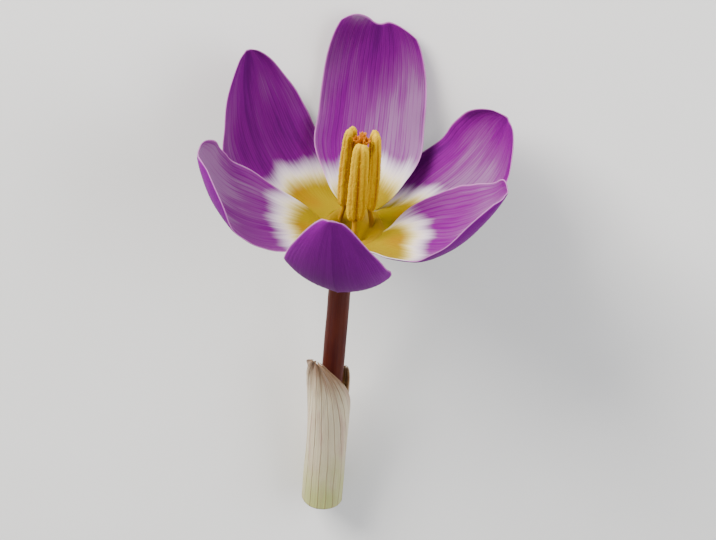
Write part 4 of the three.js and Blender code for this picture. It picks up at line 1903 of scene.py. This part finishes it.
@dataclass
class Studio:
    """Plain pale floor, soft lights, and the camera that looks down on the flower.

    The flower's own azimuth 270 faces the camera, which stands as high over the throat as in the
    photograph. toward is the direction from the flower to it, and lean turns the picture.
    """

    toward: tuple[float, float, float] = (0.0, 0.435, 0.900)
    lean: float = 5.0
    lens: float = 180.0
    sensor: float = 36.0
    picture: tuple[int, int] = (716, 540)
    margin: float = 1.07
    floor_size: float = 3.0
    key: SoftLight = SoftLight("key", (-0.45, 0.42, 0.52), 0.45, 20.0, (1.0, 0.975, 0.94))
    fill: SoftLight = SoftLight("fill", (0.62, 0.05, 0.45), 0.7, 8.0, (0.94, 0.96, 1.0))
    room: Colour = (0.93, 0.95, 1.0)
    room_light: float = 0.62
    lit_at: tuple[float, float, float] = (0.0, 0.01, 0.015)

    def axes(self) -> tuple[Array, Array, Array]:
        """The picture's right, its up, and the way back to the camera.

        Returns:
            Three unit vectors in the row's frame.
        """
        back = unit(np.array(self.toward))
        right = np.array([1.0, 0.0, 0.0])
        up = np.cross(back, right)
        cosine, sine = math.cos(math.radians(self.lean)), math.sin(math.radians(self.lean))
        return right * cosine + up * sine, up * cosine - right * sine, back

    def add_camera(self) -> None:
        """Frames the whole flower, worked out from the CAD's points."""
        right, up, back = self.axes()
        points = np.array([v.co[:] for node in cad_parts.values() for v in node.data.vertices])
        across, along, towards = points @ right, points @ up, points @ back
        middle = [(a.min() + a.max()) / 2 for a in (across, along, towards)]
        wide, high = np.ptp(across), np.ptp(along)
        width = max(wide, high * self.picture[0] / self.picture[1]) * self.margin
        distance = width * self.lens / self.sensor
        place = right * middle[0] + up * middle[1] + back * (middle[2] + distance)
        data = bpy.data.cameras.new("camera")
        data.lens, data.sensor_width, data.clip_start = self.lens, self.sensor, 0.01
        camera = linked("camera", data)
        turned = Matrix((right.tolist(), up.tolist(), back.tolist())).transposed()
        camera.matrix_world = Matrix.Translation(Vector(place)) @ turned.to_4x4()
        bpy.context.scene.camera = camera
        LOG.info("camera: the picture is %.0f mm wide at the flower", width / MM)

    def add_light(self, look: SoftLight) -> None:
        """Adds a light that faces the flower.

        Args:
            look: the light's place in metres, its side in metres, its power in watts and its colour.
        """
        data = bpy.data.lights.new(look.name, "AREA")
        data.size, data.energy, data.color = look.size, look.power, look.colour
        right, up, back = self.axes()
        place = look.place[0] * right + look.place[1] * up + look.place[2] * back
        light = linked(look.name, data)
        light.location = Vector(place)
        aim = Vector(-place + np.array(self.lit_at))
        light.rotation_euler = aim.to_track_quat("-Z", "Y").to_euler()

    def add_room(self) -> None:
        """Lights everything a little from all round."""
        world = bpy.data.worlds.new("room")
        world.use_nodes = True
        backdrop = world.node_tree.nodes["Background"]
        backdrop.inputs["Color"].default_value = (*self.room, 1.0)
        backdrop.inputs["Strength"].default_value = self.room_light
        bpy.context.scene.world = world

    def add_floor(self) -> None:
        """A matt pale floor at the height that the flower rests on."""
        half = self.floor_size / 2
        mesh = bpy.data.meshes.new("floor")
        corners = [(-half, -half, 0), (half, -half, 0), (half, half, 0), (-half, half, 0)]
        mesh.from_pydata(corners, [], [(0, 1, 2, 3)])
        r = Recipe("pale floor")
        grain = r.noise(r.place(), 60.0, 3.0)
        colour = r.mix(grain, (0.74, 0.73, 0.70), (0.77, 0.76, 0.74))
        mesh.materials.append(r.shade(Base_Color=colour, Roughness=0.85))
        linked("floor", mesh)

    def build(self) -> None:
        """Makes the studio: a key light from the picture's upper left and a fill from its right."""
        self.add_camera()
        self.add_floor()
        self.add_light(self.key)
        self.add_light(self.fill)
        self.add_room()


def main() -> None:
    """Builds the studio and the flower's parts in order."""
    logging.basicConfig(level=logging.INFO, format="%(name)s: %(message)s")
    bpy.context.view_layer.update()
    Studio().build()
    tube = PerianthTube()
    Bloom().build()
    tube.build()
    paper = SheathFinish().material()
    bract = Sheath("bract", azimuth=235, radius=3.45, tip_at=27, wrap=2.75, flare=1.6, tube=tube)
    bracteole = Sheath("bracteole", azimuth=40, radius=2.52, tip_at=32.5, wrap=2.5, flare=0.5, tube=tube)
    bract.build(paper)
    bracteole.build(paper)
    Stamens().build()
    Style(tube).build()


if __name__ == "__main__":
    main()
